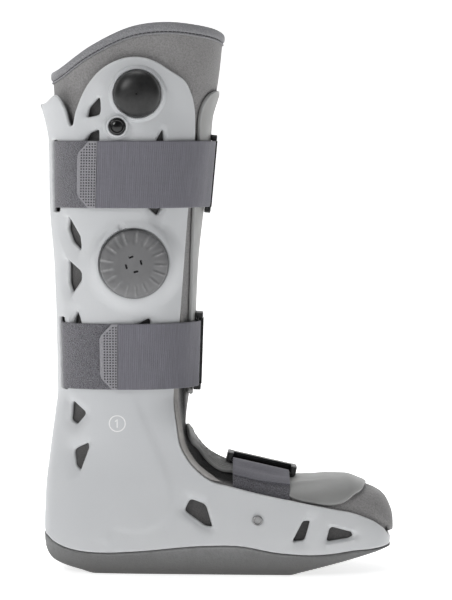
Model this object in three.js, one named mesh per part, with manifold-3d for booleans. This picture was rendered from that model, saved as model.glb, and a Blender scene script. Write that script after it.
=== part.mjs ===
// A medical walking boot: rigid shell, padded liner, rocker outsole, two leg straps and one foot strap.
// Millimetres, +Z up, toe towards +X. The origin is on the floor under the leg. The lateral side faces -Y.

import * as THREE from 'three'
import { mergeVertices } from 'three/addons/utils/BufferGeometryUtils.js'
import Module from 'manifold-3d'

const wasm = await Module()
wasm.setup()

// Driving dimensions
const bootHeight = 421
const ankleHeight = 138
const calfDepth = 126
const calfWidth = 124
const heelWidth = 82
const ballWidth = 104
const heelReach = 64.5
const toeReach = 208.5
const shellWall = 3
const shellFloor = 3
const linerWall = 6
const footbed = 4
const shinPanelWall = 2.5
const instepPanelWall = 2.5
const clearance = 0.35

// Straps and their rings
const legWebbing = 50.8
const footWebbing = 44
const webbingWall = 2
const ringWire = 3.5
const ringBarWidth = 4.5
const ringOpening = 15
const strapFoldBack = 30
const footTail = 11
const keeperTail = 8
const slotShare = 0.075
const strapLead = 12
const footLead = 9
const barLead = 4
const footDrop = 74
const tabChamfer = 8

// Controls on the lateral side
const bulbDiameter = 35.6
const bulbHeight = 13
const bulbRim = 2.4
const buttonDiameter = 12.6
const buttonLength = 7.5
const collarWall = 1.6
const collarHeight = 2
const collarToStrap = 2.6
const collarToBulb = 0.45
const controlsTilt = 58.2
const dialDiameter = 51
const dialHeight = 8
const dialRidges = 17
const dialGroove = 1.6
const dialPad = 60
const dialGap = 1
const spindleDiameter = 12
const spindleLength = 4
const bossRise = 1.5
const rivetHead = 8
const rivetRise = 1.5
const rivetShank = 3.6

// Binding tape on the rim
const bindingHeight = 5
const bindingWall = 1.2

const legHeight = bootHeight - ankleHeight
const linerInset = shellWall + webbingWall + 2.6 * clearance
const linerRoundness = 2.5
const outlinePoints = 22
const hollowPoints = 16
const lathePoints = 24
const far = 2 * (calfDepth + toeReach)

// Leg sections from the ankle up. Height is a share of legHeight, half_width of calfWidth, and the rest are
// shares of calfDepth. The leans set the liner further in than linerInset, where the walls stand away from it.
const legSections = [
  // height, back, back_lean, front, front_lean, half_width, power
  [0.0, -0.431, 0, 0.406, 0, 0.351, 2.4],
  [0.198, -0.437, 0, 0.424, 0, 0.403, 2.35],
  [0.35, -0.448, 0, 0.439, 0, 0.445, 2.3],
  [0.509, -0.475, 0, 0.476, 0, 0.481, 2.3],
  [0.689, -0.481, 0, 0.518, 0, 0.5, 2.3],
  [0.749, -0.506, 0.02, 0.53, 0, 0.502, 2.3],
  [0.82, -0.548, 0.055, 0.574, 0, 0.504, 2.3],
  [0.912, -0.5635, 0.06, 0.603, 0, 0.504, 2.3],
  [1.02, -0.57, 0.06, 0.622, 0, 0.508, 2.3],
]

// Foot sections from the floor up. Height is a share of ankleHeight, back of heelReach, front of toeReach, the
// half widths of heelWidth and ballWidth, and leg_front, where the liner's leg ends, of calfDepth.
const footSections = [
  // height, back, front, rear_half, fore_half, leg_front, power
  [-0.0145, -0.961, 0.974, 0.47, 0.471, 0.32, 4],
  [0.087, -0.977, 0.978, 0.485, 0.484, 0.32, 4],
  [0.217, -1.0, 0.985, 0.5, 0.5, 0.32, 4],
  [0.449, -0.9845, 0.945, 0.496, 0.476, 0.333, 3.8],
  [0.681, -0.929, 0.585, 0.4915, 0.421, 0.348, 3.1],
  [0.899, -0.868, 0.302, 0.512, 0.404, 0.368, 2.55],
]

// The top of the liner's foot along its length: reach is a share of toeReach, top and base of ankleHeight.
const instepLine = [
  // reach, top, base
  [0.06, 0.93, 0.06],
  [0.22, 0.797, 0.06],
  [0.25, 0.722, 0.06],
  [0.283, 0.661, 0.06],
  [0.336, 0.607, 0.06],
  [0.39, 0.575, 0.06],
  [0.614, 0.5, 0.06],
  [0.68, 0.5, 0.06],
  [0.748, 0.508, 0.06],
  [0.815, 0.506, 0.06],
  [0.873, 0.477, 0.07],
  [0.926, 0.448, 0.09],
  [0.966, 0.405, 0.12],
  [0.986, 0.345, 0.16],
  [0.999, 0.29, 0.2],
]

// Places in side view, as shares: onLeg of calfDepth and legHeight, onFoot of ankleHeight and of toeReach or,
// behind the leg, of heelReach
const onLeg = (x, z) => [x * calfDepth, ankleHeight + z * legHeight]
const onFoot = (x, z) => [x * (x < 0 ? heelReach : toeReach), z * ankleHeight]

const seam = [
  onFoot(-1.1, 0.27), onFoot(-0.952, 0.228), onFoot(-0.885, 0.183), onFoot(-0.743, 0.144),
  onFoot(-0.533, 0.122), onFoot(-0.307, 0.116), onFoot(0, 0.122), onFoot(0.09, 0.133), onFoot(0.188, 0.149),
  onFoot(0.288, 0.161),
  onFoot(0.42, 0.161), onFoot(0.546, 0.127), onFoot(0.62, 0.116), onFoot(0.694, 0.112), onFoot(0.767, 0.12),
  onFoot(0.841, 0.135), onFoot(0.915, 0.149), onFoot(0.974, 0.17), onFoot(1.1, 0.2),
]
const tread = [
  onFoot(1.1, 0.185), onFoot(0.974, 0.157), onFoot(0.915, 0.135), onFoot(0.815, 0.093), onFoot(0.716, 0.054),
  onFoot(0.642, 0.02), onFoot(0.604, 0), onFoot(-0.38, 0), onFoot(-0.535, 0.026), onFoot(-0.743, 0.062),
  onFoot(-0.879, 0.107), onFoot(-0.933, 0.155), onFoot(-1.1, 0.25),
]
const shellEdge = [
  onLeg(-0.65, 0.792), onLeg(-0.5, 0.79), onLeg(-0.425, 0.811), onLeg(-0.365, 0.776), onLeg(-0.324, 0.726),
  onLeg(-0.293, 0.77), onLeg(-0.233, 0.829), onLeg(-0.143, 0.877), onLeg(-0.023, 0.906), onLeg(0.09, 0.912),
  onLeg(0.187, 0.901), onLeg(0.276, 0.877), onLeg(0.366, 0.85), onLeg(0.402, 0.82), onLeg(0.425, 0.775),
  onLeg(0.425, 0.686), onLeg(0.383, 0.491), onLeg(0.334, 0.21), onLeg(0.298, 0.021), onFoot(0.178, 0.962),
  onFoot(0.188, 0.833), onFoot(0.2, 0.723), onFoot(0.23, 0.639), onFoot(0.258, 0.589), onFoot(0.314, 0.527),
  onFoot(0.391, 0.494), onFoot(0.494, 0.455), onFoot(0.619, 0.416), onFoot(0.693, 0.393), onFoot(0.766, 0.371),
  onFoot(0.839, 0.35), onFoot(0.919, 0.294), onFoot(0.96, 0.249), onFoot(0.985, 0.22), onFoot(1.1, 0.215),
]
const shinPanelEdge = [
  onLeg(0.381, 0.004), onLeg(0.402, 0.233), onLeg(0.423, 0.509), onLeg(0.453, 0.689), onLeg(0.46, 0.756),
  onLeg(0.49, 0.795), onLeg(0.544, 0.82), onLeg(0.7, 0.826), onLeg(0.7, 0.004),
]
const instepPanelEdge = [
  onFoot(0.219, 1.0), onFoot(0.219, 0.806), onFoot(0.236, 0.726), onFoot(0.262, 0.681), onFoot(0.295, 0.614),
  onFoot(0.343, 0.563), onFoot(0.393, 0.558), onFoot(0.607, 0.495), onFoot(0.622, 0.45),
  onFoot(0.69, 0.394), onFoot(0.757, 0.384), onFoot(0.808, 0.402), onFoot(0.846, 0.44), onFoot(0.875, 0.455),
  onFoot(0.872, 0.483), onFoot(0.846, 0.518), onFoot(0.82, 0.56), onFoot(0.8, 1.0),
]
const rim = [
  onLeg(-0.7, 0.855), onLeg(-0.47, 0.868), onLeg(-0.411, 0.876), onLeg(-0.202, 0.938), onLeg(0.038, 0.987),
  onLeg(0.247, 1.0), onLeg(0.456, 0.993), onLeg(0.563, 0.982), onLeg(0.62, 0.966), onLeg(0.8, 0.94),
]

// Openings through both side walls of the shell
const windows = [
  [onLeg(-0.228, 0.75), onLeg(-0.216, 0.776), onLeg(-0.147, 0.808), onLeg(-0.141, 0.758)],
  [onLeg(-0.242, 0.688), onLeg(-0.211, 0.71), onLeg(-0.151, 0.719), onLeg(-0.152, 0.62), onLeg(-0.231, 0.512)],
  [onLeg(0.197, 0.688), onLeg(0.239, 0.722), onLeg(0.251, 0.664), onLeg(0.233, 0.512), onLeg(0.202, 0.488),
    onLeg(0.136, 0.515)],
  [onLeg(-0.345, 0.49), onLeg(-0.265, 0.43), onLeg(-0.274, 0.392), onLeg(-0.331, 0.414), onLeg(-0.365, 0.451)],
  [onLeg(-0.362, 0.373), onLeg(-0.268, 0.338), onLeg(-0.269, 0.316), onLeg(-0.336, 0.275),
    onLeg(-0.362, 0.303)],
  [onLeg(-0.3, 0.23), onLeg(-0.27, 0.19), onLeg(-0.29, 0.138), onLeg(-0.328, 0.178), onLeg(-0.325, 0.21)],
  [onLeg(0.159, 0.214), onLeg(0.168, 0.141), onLeg(0.128, 0.128), onLeg(0.056, 0.187)],
  [onLeg(-0.345, -0.013), onLeg(-0.244, -0.049), onLeg(-0.309, -0.082), onLeg(-0.35, -0.07)],
  [onFoot(-0.64, 0.695), onFoot(-0.456, 0.732), onFoot(-0.451, 0.704), onFoot(-0.552, 0.579),
    onFoot(-0.608, 0.603)],
  [onFoot(0.215, 0.36), onFoot(0.237, 0.427), onFoot(0.294, 0.396), onFoot(0.318, 0.271), onFoot(0.292, 0.276)],
  [onFoot(0.652, 0.307), onFoot(0.679, 0.309), onFoot(0.657, 0.195), onFoot(0.612, 0.189)],
  [onFoot(0.753, 0.277), onFoot(0.834, 0.243), onFoot(0.84, 0.22), onFoot(0.824, 0.207), onFoot(0.738, 0.187)],
]
const windowRound = 0.22

// Where the straps, controls and rivets sit. The button is just above the upper strap, and the bulb beside it.
const upperStrapHeight = onLeg(0, 0.599)[1]
const lowerStrapHeight = onLeg(0, 0.1075)[1]
const collarRadius = buttonDiameter / 2 + clearance + collarWall
const bulbRimRadius = bulbDiameter / 2 + bulbRim
const buttonPlace = [onLeg(-0.039, 0)[0], upperStrapHeight + legWebbing / 2 + collarToStrap + collarRadius]
const bulbTurn = THREE.MathUtils.degToRad(controlsTilt)
const bulbAway = collarRadius + collarToBulb + bulbRimRadius
const bulbPlace = [
  buttonPlace[0] + bulbAway * Math.cos(bulbTurn),
  buttonPlace[1] + bulbAway * Math.sin(bulbTurn),
]
const dialPlace = onLeg(0.058, 0.36)
const rivetPlace = onFoot(0.485, 0.31)
const footStrapReach = onFoot(0.5, 0)[0]
const upperTab = [-0.3, -0.17]
const lowerTab = [-0.17, -0.05]

const palette = {
  shell: { color: 0xc2c7ca, roughness: 0.45, metalness: 0 },
  panel: { color: 0xa9aba9, roughness: 0.55, metalness: 0 },
  liner: { color: 0x8f8b8a, roughness: 0.95, metalness: 0 },
  binding: { color: 0x97979c, roughness: 0.9, metalness: 0 },
  outsole: { color: 0x7e817f, roughness: 0.85, metalness: 0 },
  webbing: { color: 0x77747f, roughness: 0.9, metalness: 0 },
  tab: { color: 0x68656f, roughness: 0.7, metalness: 0 },
  black: { color: 0x18181a, roughness: 0.4, metalness: 0 },
  rubber: { color: 0x0e0e10, roughness: 0.25, metalness: 0 },
  dial: { color: 0x6d6e71, roughness: 0.5, metalness: 0 },
  rivet: { color: 0xa8abad, roughness: 0.35, metalness: 0.6 },
}

// Closed solids and their booleans

function solidOf(geometry) {
  const bare = geometry.clone()
  bare.deleteAttribute('normal')
  bare.deleteAttribute('uv')
  const merged = mergeVertices(bare, 1e-4)
  const points = merged.attributes.position
  const index = Array.from(merged.index.array)
  if (signedVolume(points, index) < 0) {
    index.reverse()
  }
  const mesh = new wasm.Mesh({
    numProp: 3,
    vertProperties: Float32Array.from(points.array),
    triVerts: Uint32Array.from(index),
  })
  return new wasm.Manifold(mesh)
}

function signedVolume(points, index) {
  const corner = [new THREE.Vector3(), new THREE.Vector3(), new THREE.Vector3()]
  let total = 0
  for (let i = 0; i < index.length; i += 3) {
    corner.forEach((vector, k) => vector.fromBufferAttribute(points, index[i + k]))
    total += corner[0].dot(corner[1].clone().cross(corner[2]))
  }
  return total
}

function geometryOf(solid) {
  const mesh = solid.getMesh()
  const geometry = new THREE.BufferGeometry()
  geometry.setAttribute('position', new THREE.BufferAttribute(mesh.vertProperties, 3))
  geometry.setIndex(Array.from(mesh.triVerts))
  geometry.computeVertexNormals()
  return geometry
}

// A closed skin over rings of points that all have the same count, with a fan over each end
function loft(rings) {
  const count = rings[0].length
  const points = rings.flat()
  const index = []
  for (let ring = 0; ring < rings.length - 1; ring += 1) {
    for (let k = 0; k < count; k += 1) {
      const a = ring * count + k
      const b = ring * count + (k + 1) % count
      index.push(a, b, b + count, a, b + count, a + count)
    }
  }
  const ends = [[0, 1], [rings.length - 1, -1]]
  for (const [ring, turn] of ends) {
    const centre = points.length
    const sum = rings[ring].reduce((total, point) => total.add(point), new THREE.Vector3())
    points.push(sum.divideScalar(count))
    for (let k = 0; k < count; k += 1) {
      const a = ring * count + k
      const b = ring * count + (k + 1) % count
      index.push(centre, turn > 0 ? b : a, turn > 0 ? a : b)
    }
  }
  const geometry = new THREE.BufferGeometry().setFromPoints(points)
  geometry.setIndex(index)
  return solidOf(geometry)
}

// The solid seen in side view as an outline of X and Z, from one Y to another
function sidePrism(outline, fromY, toY) {
  const shape = new THREE.Shape(outline.map(([x, z]) => new THREE.Vector2(x, z)))
  const geometry = new THREE.ExtrudeGeometry(shape, { depth: toY - fromY, bevelEnabled: false })
  geometry.rotateX(Math.PI / 2)
  geometry.translate(0, toY, 0)
  return solidOf(geometry)
}

const wholeWidth = (outline) => sidePrism(outline, -far, far)

// An outline with its corners cut round by a share of the shorter side at each
function roundCorners(outline, share) {
  const corners = outline.map(([x, z]) => new THREE.Vector2(x, z))
  return corners.flatMap((corner, k) => {
    const before = corners[(k + corners.length - 1) % corners.length]
    const after = corners[(k + 1) % corners.length]
    const reach = share * Math.min(corner.distanceTo(before), corner.distanceTo(after))
    const start = corner.clone().add(before.clone().sub(corner).setLength(reach))
    const end = corner.clone().add(after.clone().sub(corner).setLength(reach))
    const curve = new THREE.QuadraticBezierCurve(start, corner, end)
    return curve.getPoints(2).map((point) => [point.x, point.y])
  })
}

const shifted = (outline, rise) => outline.map(([x, z]) => [x, z + rise])

function rod(radius, fromY, toY, [x, z], sides) {
  const geometry = new THREE.CylinderGeometry(radius, radius, toY - fromY, sides)
  geometry.translate(x, (fromY + toY) / 2, z)
  return solidOf(geometry)
}

// The boot's sections, from the table rows to millimetres

const sections = [
  ...footSections.map(([height, back, front, rearHalf, foreHalf, legFront, power]) => ({
    z: height * ankleHeight,
    back: back * heelReach,
    front: front * toeReach,
    rearHalf: rearHalf * heelWidth,
    foreHalf: foreHalf * ballWidth,
    linerBack: back * heelReach + linerInset,
    linerFront: legFront * calfDepth,
    power,
  })),
  ...legSections.map(([height, back, backLean, front, frontLean, half, power]) => ({
    z: ankleHeight + height * legHeight,
    back: back * calfDepth,
    front: front * calfDepth,
    rearHalf: half * calfWidth,
    foreHalf: half * calfWidth,
    linerBack: (back + backLean) * calfDepth + linerInset,
    linerFront: (front - frontLean) * calfDepth - shinPanelWall - clearance,
    power,
  })),
]

function sectionAt(z) {
  const upper = Math.max(1, sections.findIndex((row) => row.z > z))
  const [below, above] = [sections[upper - 1], sections[upper]]
  const share = (z - below.z) / (above.z - below.z)
  const mixed = Object.keys(below).map((key) => [key, THREE.MathUtils.lerp(below[key], above[key], share)])
  return Object.fromEntries(mixed)
}

// Half of the width at a place between the back and the front of an outline
function halfWidthAt({ back, front, rearHalf, foreHalf, power }, x) {
  const share = THREE.MathUtils.clamp((x - back) / (front - back), 0, 1)
  const full = THREE.MathUtils.lerp(rearHalf, foreHalf, THREE.MathUtils.smoothstep(share, 0, 1))
  return full * (1 - Math.abs(2 * share - 1) ** power) ** (1 / power)
}

// A closed line of points that can be asked for the point and outward normal at a share of its length
class Loop {
  constructor(points) {
    this.points = points
    this.lengths = [0]
    points.forEach((point, k) => {
      const next = points[(k + 1) % points.length]
      this.lengths.push(this.lengths[k] + point.distanceTo(next))
    })
    this.length = this.lengths.at(-1)
  }

  at(share, offset = 0) {
    const along = (((share % 1) + 1) % 1) * this.length
    let k = this.lengths.findIndex((length) => length > along) - 1
    k = k < 0 ? this.points.length - 1 : k
    const start = this.points[k]
    const end = this.points[(k + 1) % this.points.length]
    const part = (along - this.lengths[k]) / (this.lengths[k + 1] - this.lengths[k])
    const tangent = end.clone().sub(start).normalize()
    const normal = new THREE.Vector2(tangent.y, -tangent.x)
    return start.clone().lerp(end, part).addScaledVector(normal, offset)
  }

  shareAtX(x) {
    const k = this.points.findIndex((point) => point.x > x)
    return this.lengths[k] / this.length
  }
}

// A horizontal outline, from the middle of the back along the lateral side, as X and Y
function outlineLoop(section) {
  const steps = 120
  const middle = (section.back + section.front) / 2
  const reach = (section.front - section.back) / 2
  const lateral = []
  for (let k = 0; k <= steps; k += 1) {
    const turn = Math.PI * k / steps
    const x = middle - reach * Math.sign(Math.cos(turn)) * Math.abs(Math.cos(turn)) ** (2 / section.power)
    lateral.push(new THREE.Vector2(x, k === 0 || k === steps ? 0 : -halfWidthAt(section, x)))
  }
  const medial = lateral.slice(1, steps).reverse().map((point) => new THREE.Vector2(point.x, -point.y))
  return new Loop([...lateral, ...medial])
}

const inset = (section, depth) => ({
  ...section,
  back: section.back + depth,
  front: section.front - depth,
  rearHalf: section.rearHalf - depth,
  foreHalf: section.foreHalf - depth,
})

const linerLeg = (section, depth) => ({
  ...section,
  back: section.linerBack + depth,
  front: section.linerFront - depth,
  rearHalf: section.rearHalf - linerInset - depth,
  foreHalf: section.foreHalf - linerInset - depth,
  power: Math.min(section.power, linerRoundness),
})

function standingLoft(rows, outlineOf, count = outlinePoints) {
  return loft(rows.map((row) => {
    const loop = outlineLoop(outlineOf(row))
    return Array.from({ length: count }, (_, k) => {
      const point = loop.at(k / count)
      return new THREE.Vector3(point.x, point.y, row.z)
    })
  }))
}

// The liner's foot: cross-sections of Y and Z along the boot

const instepRows = instepLine.map(([reach, top, base]) => ({
  x: reach * toeReach,
  top: top * ankleHeight,
  base: base * ankleHeight,
}))
const toeSection = { ...sectionAt(0.3 * ankleHeight), front: toeReach }

function instepAt(x) {
  const next = Math.max(1, instepRows.findIndex((row) => row.x > x))
  const [before, after] = [instepRows[next - 1], instepRows[next]]
  const share = (x - before.x) / (after.x - before.x)
  return {
    x,
    top: THREE.MathUtils.lerp(before.top, after.top, share),
    base: THREE.MathUtils.lerp(before.base, after.base, share),
  }
}

const crownPower = 2.8
const basePower = 4
const middleShare = 0.45

// From the middle of the base up the medial side, over the top and down the lateral side
function footLoop({ x, top, base }, depth) {
  const steps = 160
  const { rearHalf, foreHalf } = toeSection
  const trimmed = { ...toeSection, rearHalf: rearHalf - linerInset, foreHalf: foreHalf - linerInset }
  const half = halfWidthAt(trimmed, x) - depth
  const middle = THREE.MathUtils.lerp(base, top, middleShare)
  const points = Array.from({ length: steps }, (_, k) => {
    const turn = 2 * Math.PI * k / steps
    const across = Math.sin(turn)
    const up = -Math.cos(turn)
    const power = up > 0 ? crownPower : basePower
    const rise = up > 0 ? top - depth - middle : middle - base - depth
    const y = half * Math.sign(across) * Math.abs(across) ** (2 / power)
    return new THREE.Vector2(y, middle + rise * Math.sign(up) * Math.abs(up) ** (2 / power))
  })
  return new Loop(points)
}

function lyingLoft(rows, depth, count = outlinePoints) {
  return loft(rows.map((row) => {
    const x = Math.min(row.x, toeReach - Math.max(depth, 0))
    const loop = footLoop(instepAt(x), depth)
    return Array.from({ length: count }, (_, k) => {
      const point = loop.at(k / count)
      return new THREE.Vector3(x, point.x, point.y)
    })
  }))
}

// Ribbons: webbing that follows a surface between two edges

// Stations run along the webbing. Each has a share of the loop, an extra length along it and the offset of the
// webbing's middle, or a fold point beside a ring's bar.
function ribbon(levels, midline, place, wall) {
  const lines = levels.map((level) => midline(level))
  const rings = lines[0].map((_, k) => {
    const inner = []
    const outer = []
    lines.forEach((line, n) => {
      const before = line[Math.max(0, k - 1)]
      const after = line[Math.min(line.length - 1, k + 1)]
      const tangent = after.clone().sub(before).normalize()
      const normal = new THREE.Vector2(tangent.y, -tangent.x)
      inner.push(place(levels[n], line[k].clone().addScaledVector(normal, -wall / 2)))
      outer.push(place(levels[n], line[k].clone().addScaledVector(normal, wall / 2)))
    })
    return [...inner, ...outer.reverse()]
  })
  return loft(rings)
}

const layer = clearance + webbingWall / 2
const upperLayer = layer + webbingWall + clearance
const barCentre = webbingWall + 2 * clearance + ringWire / 2
const foldRadius = ringWire / 2 + clearance + webbingWall / 2
const barReach = ringOpening / 2 + ringBarWidth
const foldCentre = ringOpening / 2 + 0.5

const span = (from, to, count) => Array.from({ length: count + 1 }, (_, k) => from + (to - from) * k / count)

// The fold of webbing round a ring's bar: side is -1 towards the start of the loop and 1 towards its end
function foldPoints(side, front, across) {
  const beside = (along, out) => front.clone().addScaledVector(across, side * along).add(outward(across, out))
  const round = span(-90, 90, 6).map((degrees) => {
    const turn = THREE.MathUtils.degToRad(degrees)
    return beside(foldCentre - foldRadius * Math.cos(turn), barCentre + foldRadius * Math.sin(turn))
  })
  return [...round, beside(barReach + clearance, barCentre + foldRadius)]
}

const outward = (across, distance) => new THREE.Vector2(across.y, -across.x).multiplyScalar(distance)

// Leg straps

const slotOut = [
  // share along the outline from the slot, offset
  [0.036, layer], [0.02, layer * 0.6], [0, -shellWall / 2], [-0.02, -shellWall - layer * 0.9],
  [-0.03, -shellWall - layer - 0.3 * clearance],
]
const outerShare = slotShare + 0.05
const innerShare = slotShare - 0.04

function legStrap(height, tabEnd) {
  const bottom = height - legWebbing / 2
  const top = height + legWebbing / 2
  const levelsOf = (from, to) => [from, ...sections.map((row) => row.z).filter((z) => z > from && z < to), to]
  const across = new THREE.Vector2(0, 1)
  const frontOf = (z) => {
    const [low, high] = [sectionAt(bottom).front, sectionAt(top).front]
    return new THREE.Vector2(THREE.MathUtils.mapLinear(z, bottom, top, low, high), 0)
  }
  const middleLoop = outlineLoop(sectionAt(height))
  const tabShare = middleLoop.shareAtX(tabEnd * calfDepth)
  const insideLayer = -shellWall - layer - 0.3 * clearance
  const slotPath = (side) => slotOut.map(([share, offset]) => ({ share: side * (slotShare + share), offset }))
  const atFront = (side, arc, offset) => ({ share: 0.5, arc: side * arc, offset })
  const climb = barReach + strapLead
  const frontShare = 0.5 - (climb + barLead) / middleLoop.length
  const stations = [
    ...[climb + strapFoldBack, climb + strapFoldBack / 2, climb].map((arc) => atFront(1, arc, upperLayer)),
    { fold: 1, reverse: true },
    ...[barReach + barLead, climb - barLead, climb].map((arc) => atFront(1, arc, layer)),
    ...span(1 - frontShare, 1 - outerShare, 14).map((share) => ({ share, offset: layer })),
    ...slotPath(-1),
    ...span(-innerShare, innerShare, 3).map((share) => ({ share, offset: insideLayer })),
    ...slotPath(1).reverse(),
    ...span(outerShare, frontShare, 14).map((share) => ({ share, offset: layer })),
    ...[climb, climb - barLead, barReach + barLead].map((arc) => atFront(-1, arc, layer)),
    { fold: -1 },
    atFront(-1, climb, upperLayer),
    ...span(frontShare, tabShare, 12).map((share) => ({ share, offset: upperLayer })),
  ]
  const trace = (list) => (z) => {
    const loop = outlineLoop(sectionAt(z))
    return list.flatMap((station) => {
      if (station.fold) {
        const points = foldPoints(station.fold, frontOf(z), across)
        return station.reverse ? points.reverse() : points
      }
      return [loop.at(station.share + (station.arc ?? 0) / loop.length, station.offset)]
    })
  }
  const place = (z, point) => new THREE.Vector3(point.x, point.y, z)
  const strap = ribbon(levelsOf(bottom, top), trace(stations), place, webbingWall)
  const slots = [1, -1].map((side) => ribbon(
    levelsOf(bottom - clearance, top + clearance),
    trace(slotPath(side)),
    place,
    webbingWall + 2 * clearance,
  ))
  const tabStations = (from, to) => span(from, to, 6).map((share) => ({ share, offset: upperLayer }))
  const band = (from, to) => ribbon(levelsOf(bottom, top), trace(tabStations(from, to)), place, webbingWall)
  return { strap, slots, band, tabShare, middleLoop, frontOf, bottom, top }
}

// The fastening tab that ends a strap, with its two free corners cut off
function hookTab(leg, tabX) {
  const gap = clearance / leg.middleLoop.length
  const endShare = leg.middleLoop.shareAtX(tabX[0] * calfDepth)
  const tab = leg.band(leg.tabShare - gap, endShare)
  const endX = leg.middleLoop.at(endShare, upperLayer).x
  const [near, past] = [endX - tabChamfer, endX + tabChamfer]
  const corner = (z, turn) => wholeWidth([[near, z + turn], [past, z + turn], [near, z - turn * tabChamfer]])
  return tab.subtract(corner(leg.top, 1)).subtract(corner(leg.bottom, -1))
}

// A rectangular ring of square wire, lying in the plane of Y and Z
function ringGeometry(opening, length) {
  const outer = new THREE.Shape()
  const halfWidth = opening / 2 + ringBarWidth
  const halfLength = length / 2 + ringBarWidth
  const nick = ringBarWidth / 3
  outer.setFromPoints([
    [-halfWidth, -halfLength + nick], [-halfWidth + nick, -halfLength], [halfWidth - nick, -halfLength],
    [halfWidth, -halfLength + nick], [halfWidth, halfLength - nick], [halfWidth - nick, halfLength],
    [-halfWidth + nick, halfLength], [-halfWidth, halfLength - nick],
  ].map(([x, y]) => new THREE.Vector2(x, y)))
  const hole = new THREE.Path()
  const [across, along] = [opening / 2, length / 2]
  const corners = [[-across, -along], [across, -along], [across, along], [-across, along]]
  hole.setFromPoints(corners.map(([x, y]) => new THREE.Vector2(x, y)))
  outer.holes.push(hole)
  const geometry = new THREE.ExtrudeGeometry(outer, { depth: ringWire, bevelEnabled: false })
  geometry.translate(0, 0, -ringWire / 2)
  return geometry
}

function piece(name, shape, material, parent) {
  const geometry = shape.isBufferGeometry ? geometryOf(solidOf(shape)) : geometryOf(shape)
  const mesh = new THREE.Mesh(geometry, new THREE.MeshStandardMaterial(palette[material]))
  mesh.name = name
  parent.add(mesh)
  return mesh
}

function outsole() {
  const body = standingLoft(sections.slice(0, 4), (section) => section)
  const profile = [...tread, ...shifted(seam, -clearance / 2)]
  return body.intersect(wholeWidth(profile))
}

// The side wall's own outer Y at a place, and the flat face of a boss that stands out all round a control
const wallY = ([x, z]) => -halfWidthAt(sectionAt(z), x)

function bossFace([x, z], radius, rise) {
  const round = [[0, 0], [-radius, 0], [radius, 0], [0, -radius], [0, radius]]
  return Math.min(...round.map(([along, up]) => wallY([x + along, z + up]))) - rise
}

const bulbFace = bossFace(bulbPlace, bulbDiameter / 2, bossRise)
const buttonFace = bossFace(buttonPlace, collarRadius, bossRise / 2)
const dialFace = wallY(dialPlace) - bossRise

function shell(slots) {
  const bosses = [
    rod(bulbRimRadius, bulbFace - bulbRim, bulbFace + 3 * shellWall, bulbPlace, lathePoints),
    rod(buttonDiameter / 2 + 2 * collarWall, buttonFace, buttonFace + 2 * shellWall, buttonPlace, lathePoints),
    rod(dialPad / 2, dialFace, dialFace + 3 * shellWall, dialPlace, 2 * dialRidges),
  ]
  const wells = [
    rod(bulbDiameter / 2 + clearance, bulbFace - far, bulbFace, bulbPlace, lathePoints),
    rod(buttonDiameter / 2 + clearance, buttonFace - far, buttonFace + 4 * shellWall, buttonPlace, lathePoints),
    rod(spindleDiameter / 2 + clearance, dialFace - far, dialFace + 4 * shellWall, dialPlace, 20),
    rod(dialDiameter / 2 + dialGap, dialFace - far, dialFace, dialPlace, 2 * dialRidges),
  ]
  let outer = standingLoft(sections, (section) => section)
  bosses.forEach((boss) => { outer = outer.add(boss) })
  const room = standingLoft(sections, (section) => inset(section, shellWall))
  const aboveFloor = wholeWidth([...shifted(seam, shellFloor), [far, far], [-far, far]])
  const kept = wholeWidth([...shifted(seam, clearance / 2), ...shellEdge.slice().reverse()])
  let body = outer.intersect(kept).subtract(room.intersect(aboveFloor))
  wells.forEach((well) => { body = body.subtract(well) })
  windows.forEach((window) => { body = body.subtract(wholeWidth(roundCorners(window, windowRound))) })
  slots.forEach((slot) => { body = body.subtract(slot) })
  return body.subtract(rod(rivetShank / 2 + clearance, -far, far, rivetPlace, 12))
}

// The space of the shell's wall and a clearance round it, which the liner keeps out of
function shellSpace() {
  const outer = standingLoft(sections.slice(0, 7), (section) => inset(section, -1))
  const room = standingLoft(sections.slice(0, 7), (section) => inset(section, shellWall + clearance))
  const edge = shifted(shellEdge.slice(18), clearance)
  const kept = wholeWidth([...shifted(seam, -1), ...edge.slice().reverse(), [-far, edge[0][1]]])
  return outer.subtract(room).intersect(kept)
}

const belowRim = (rise) => wholeWidth([[-far, -far], ...shifted(rim, rise), [far, -far]])

function liner() {
  const leg = standingLoft(sections, (section) => linerLeg(section, 0))
  const foot = lyingLoft(instepRows, 0)
  const hollowLeg = standingLoft(sections, (section) => linerLeg(section, linerWall), hollowPoints)
  const hollowFoot = lyingLoft(instepRows.slice(0, -3), linerWall, hollowPoints)
  const base = shifted(seam, shellFloor + clearance)
  const aboveBase = wholeWidth([...base, [far, far], [-far, far]])
  const aboveFootbed = wholeWidth([...shifted(base, footbed), [far, far], [-far, far]])
  const outer = leg.add(foot).intersect(aboveBase).intersect(belowRim(0))
  const hollow = hollowLeg.add(hollowFoot).intersect(aboveFootbed)
  return outer.subtract(shellSpace()).subtract(hollow)
}

// Binding tape: a channel that sits over the rim
function collarBinding() {
  const upperRows = sections.slice(-6)
  const wrap = (depth, count) => standingLoft(upperRows, (section) => linerLeg(section, depth), count)
  const grow = clearance + bindingWall
  const band = (low, high) => belowRim(high).subtract(belowRim(low))
  const tube = (depth) => wrap(-depth).subtract(wrap(linerWall + depth, hollowPoints))
  const outside = tube(grow).intersect(band(-bindingHeight, grow))
  const groove = tube(clearance).intersect(belowRim(clearance))
  return outside.subtract(groove)
}

function shinPanel() {
  const rows = sections.slice(5)
  const outer = standingLoft(rows, (section) => section)
  const room = standingLoft(rows, (section) => inset(section, shinPanelWall))
  return outer.subtract(room).intersect(wholeWidth(shinPanelEdge))
}

function instepPanel() {
  const outer = lyingLoft(instepRows, -clearance - instepPanelWall)
  const room = lyingLoft(instepRows, -clearance)
  return outer.subtract(room).intersect(wholeWidth(instepPanelEdge))
}

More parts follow.
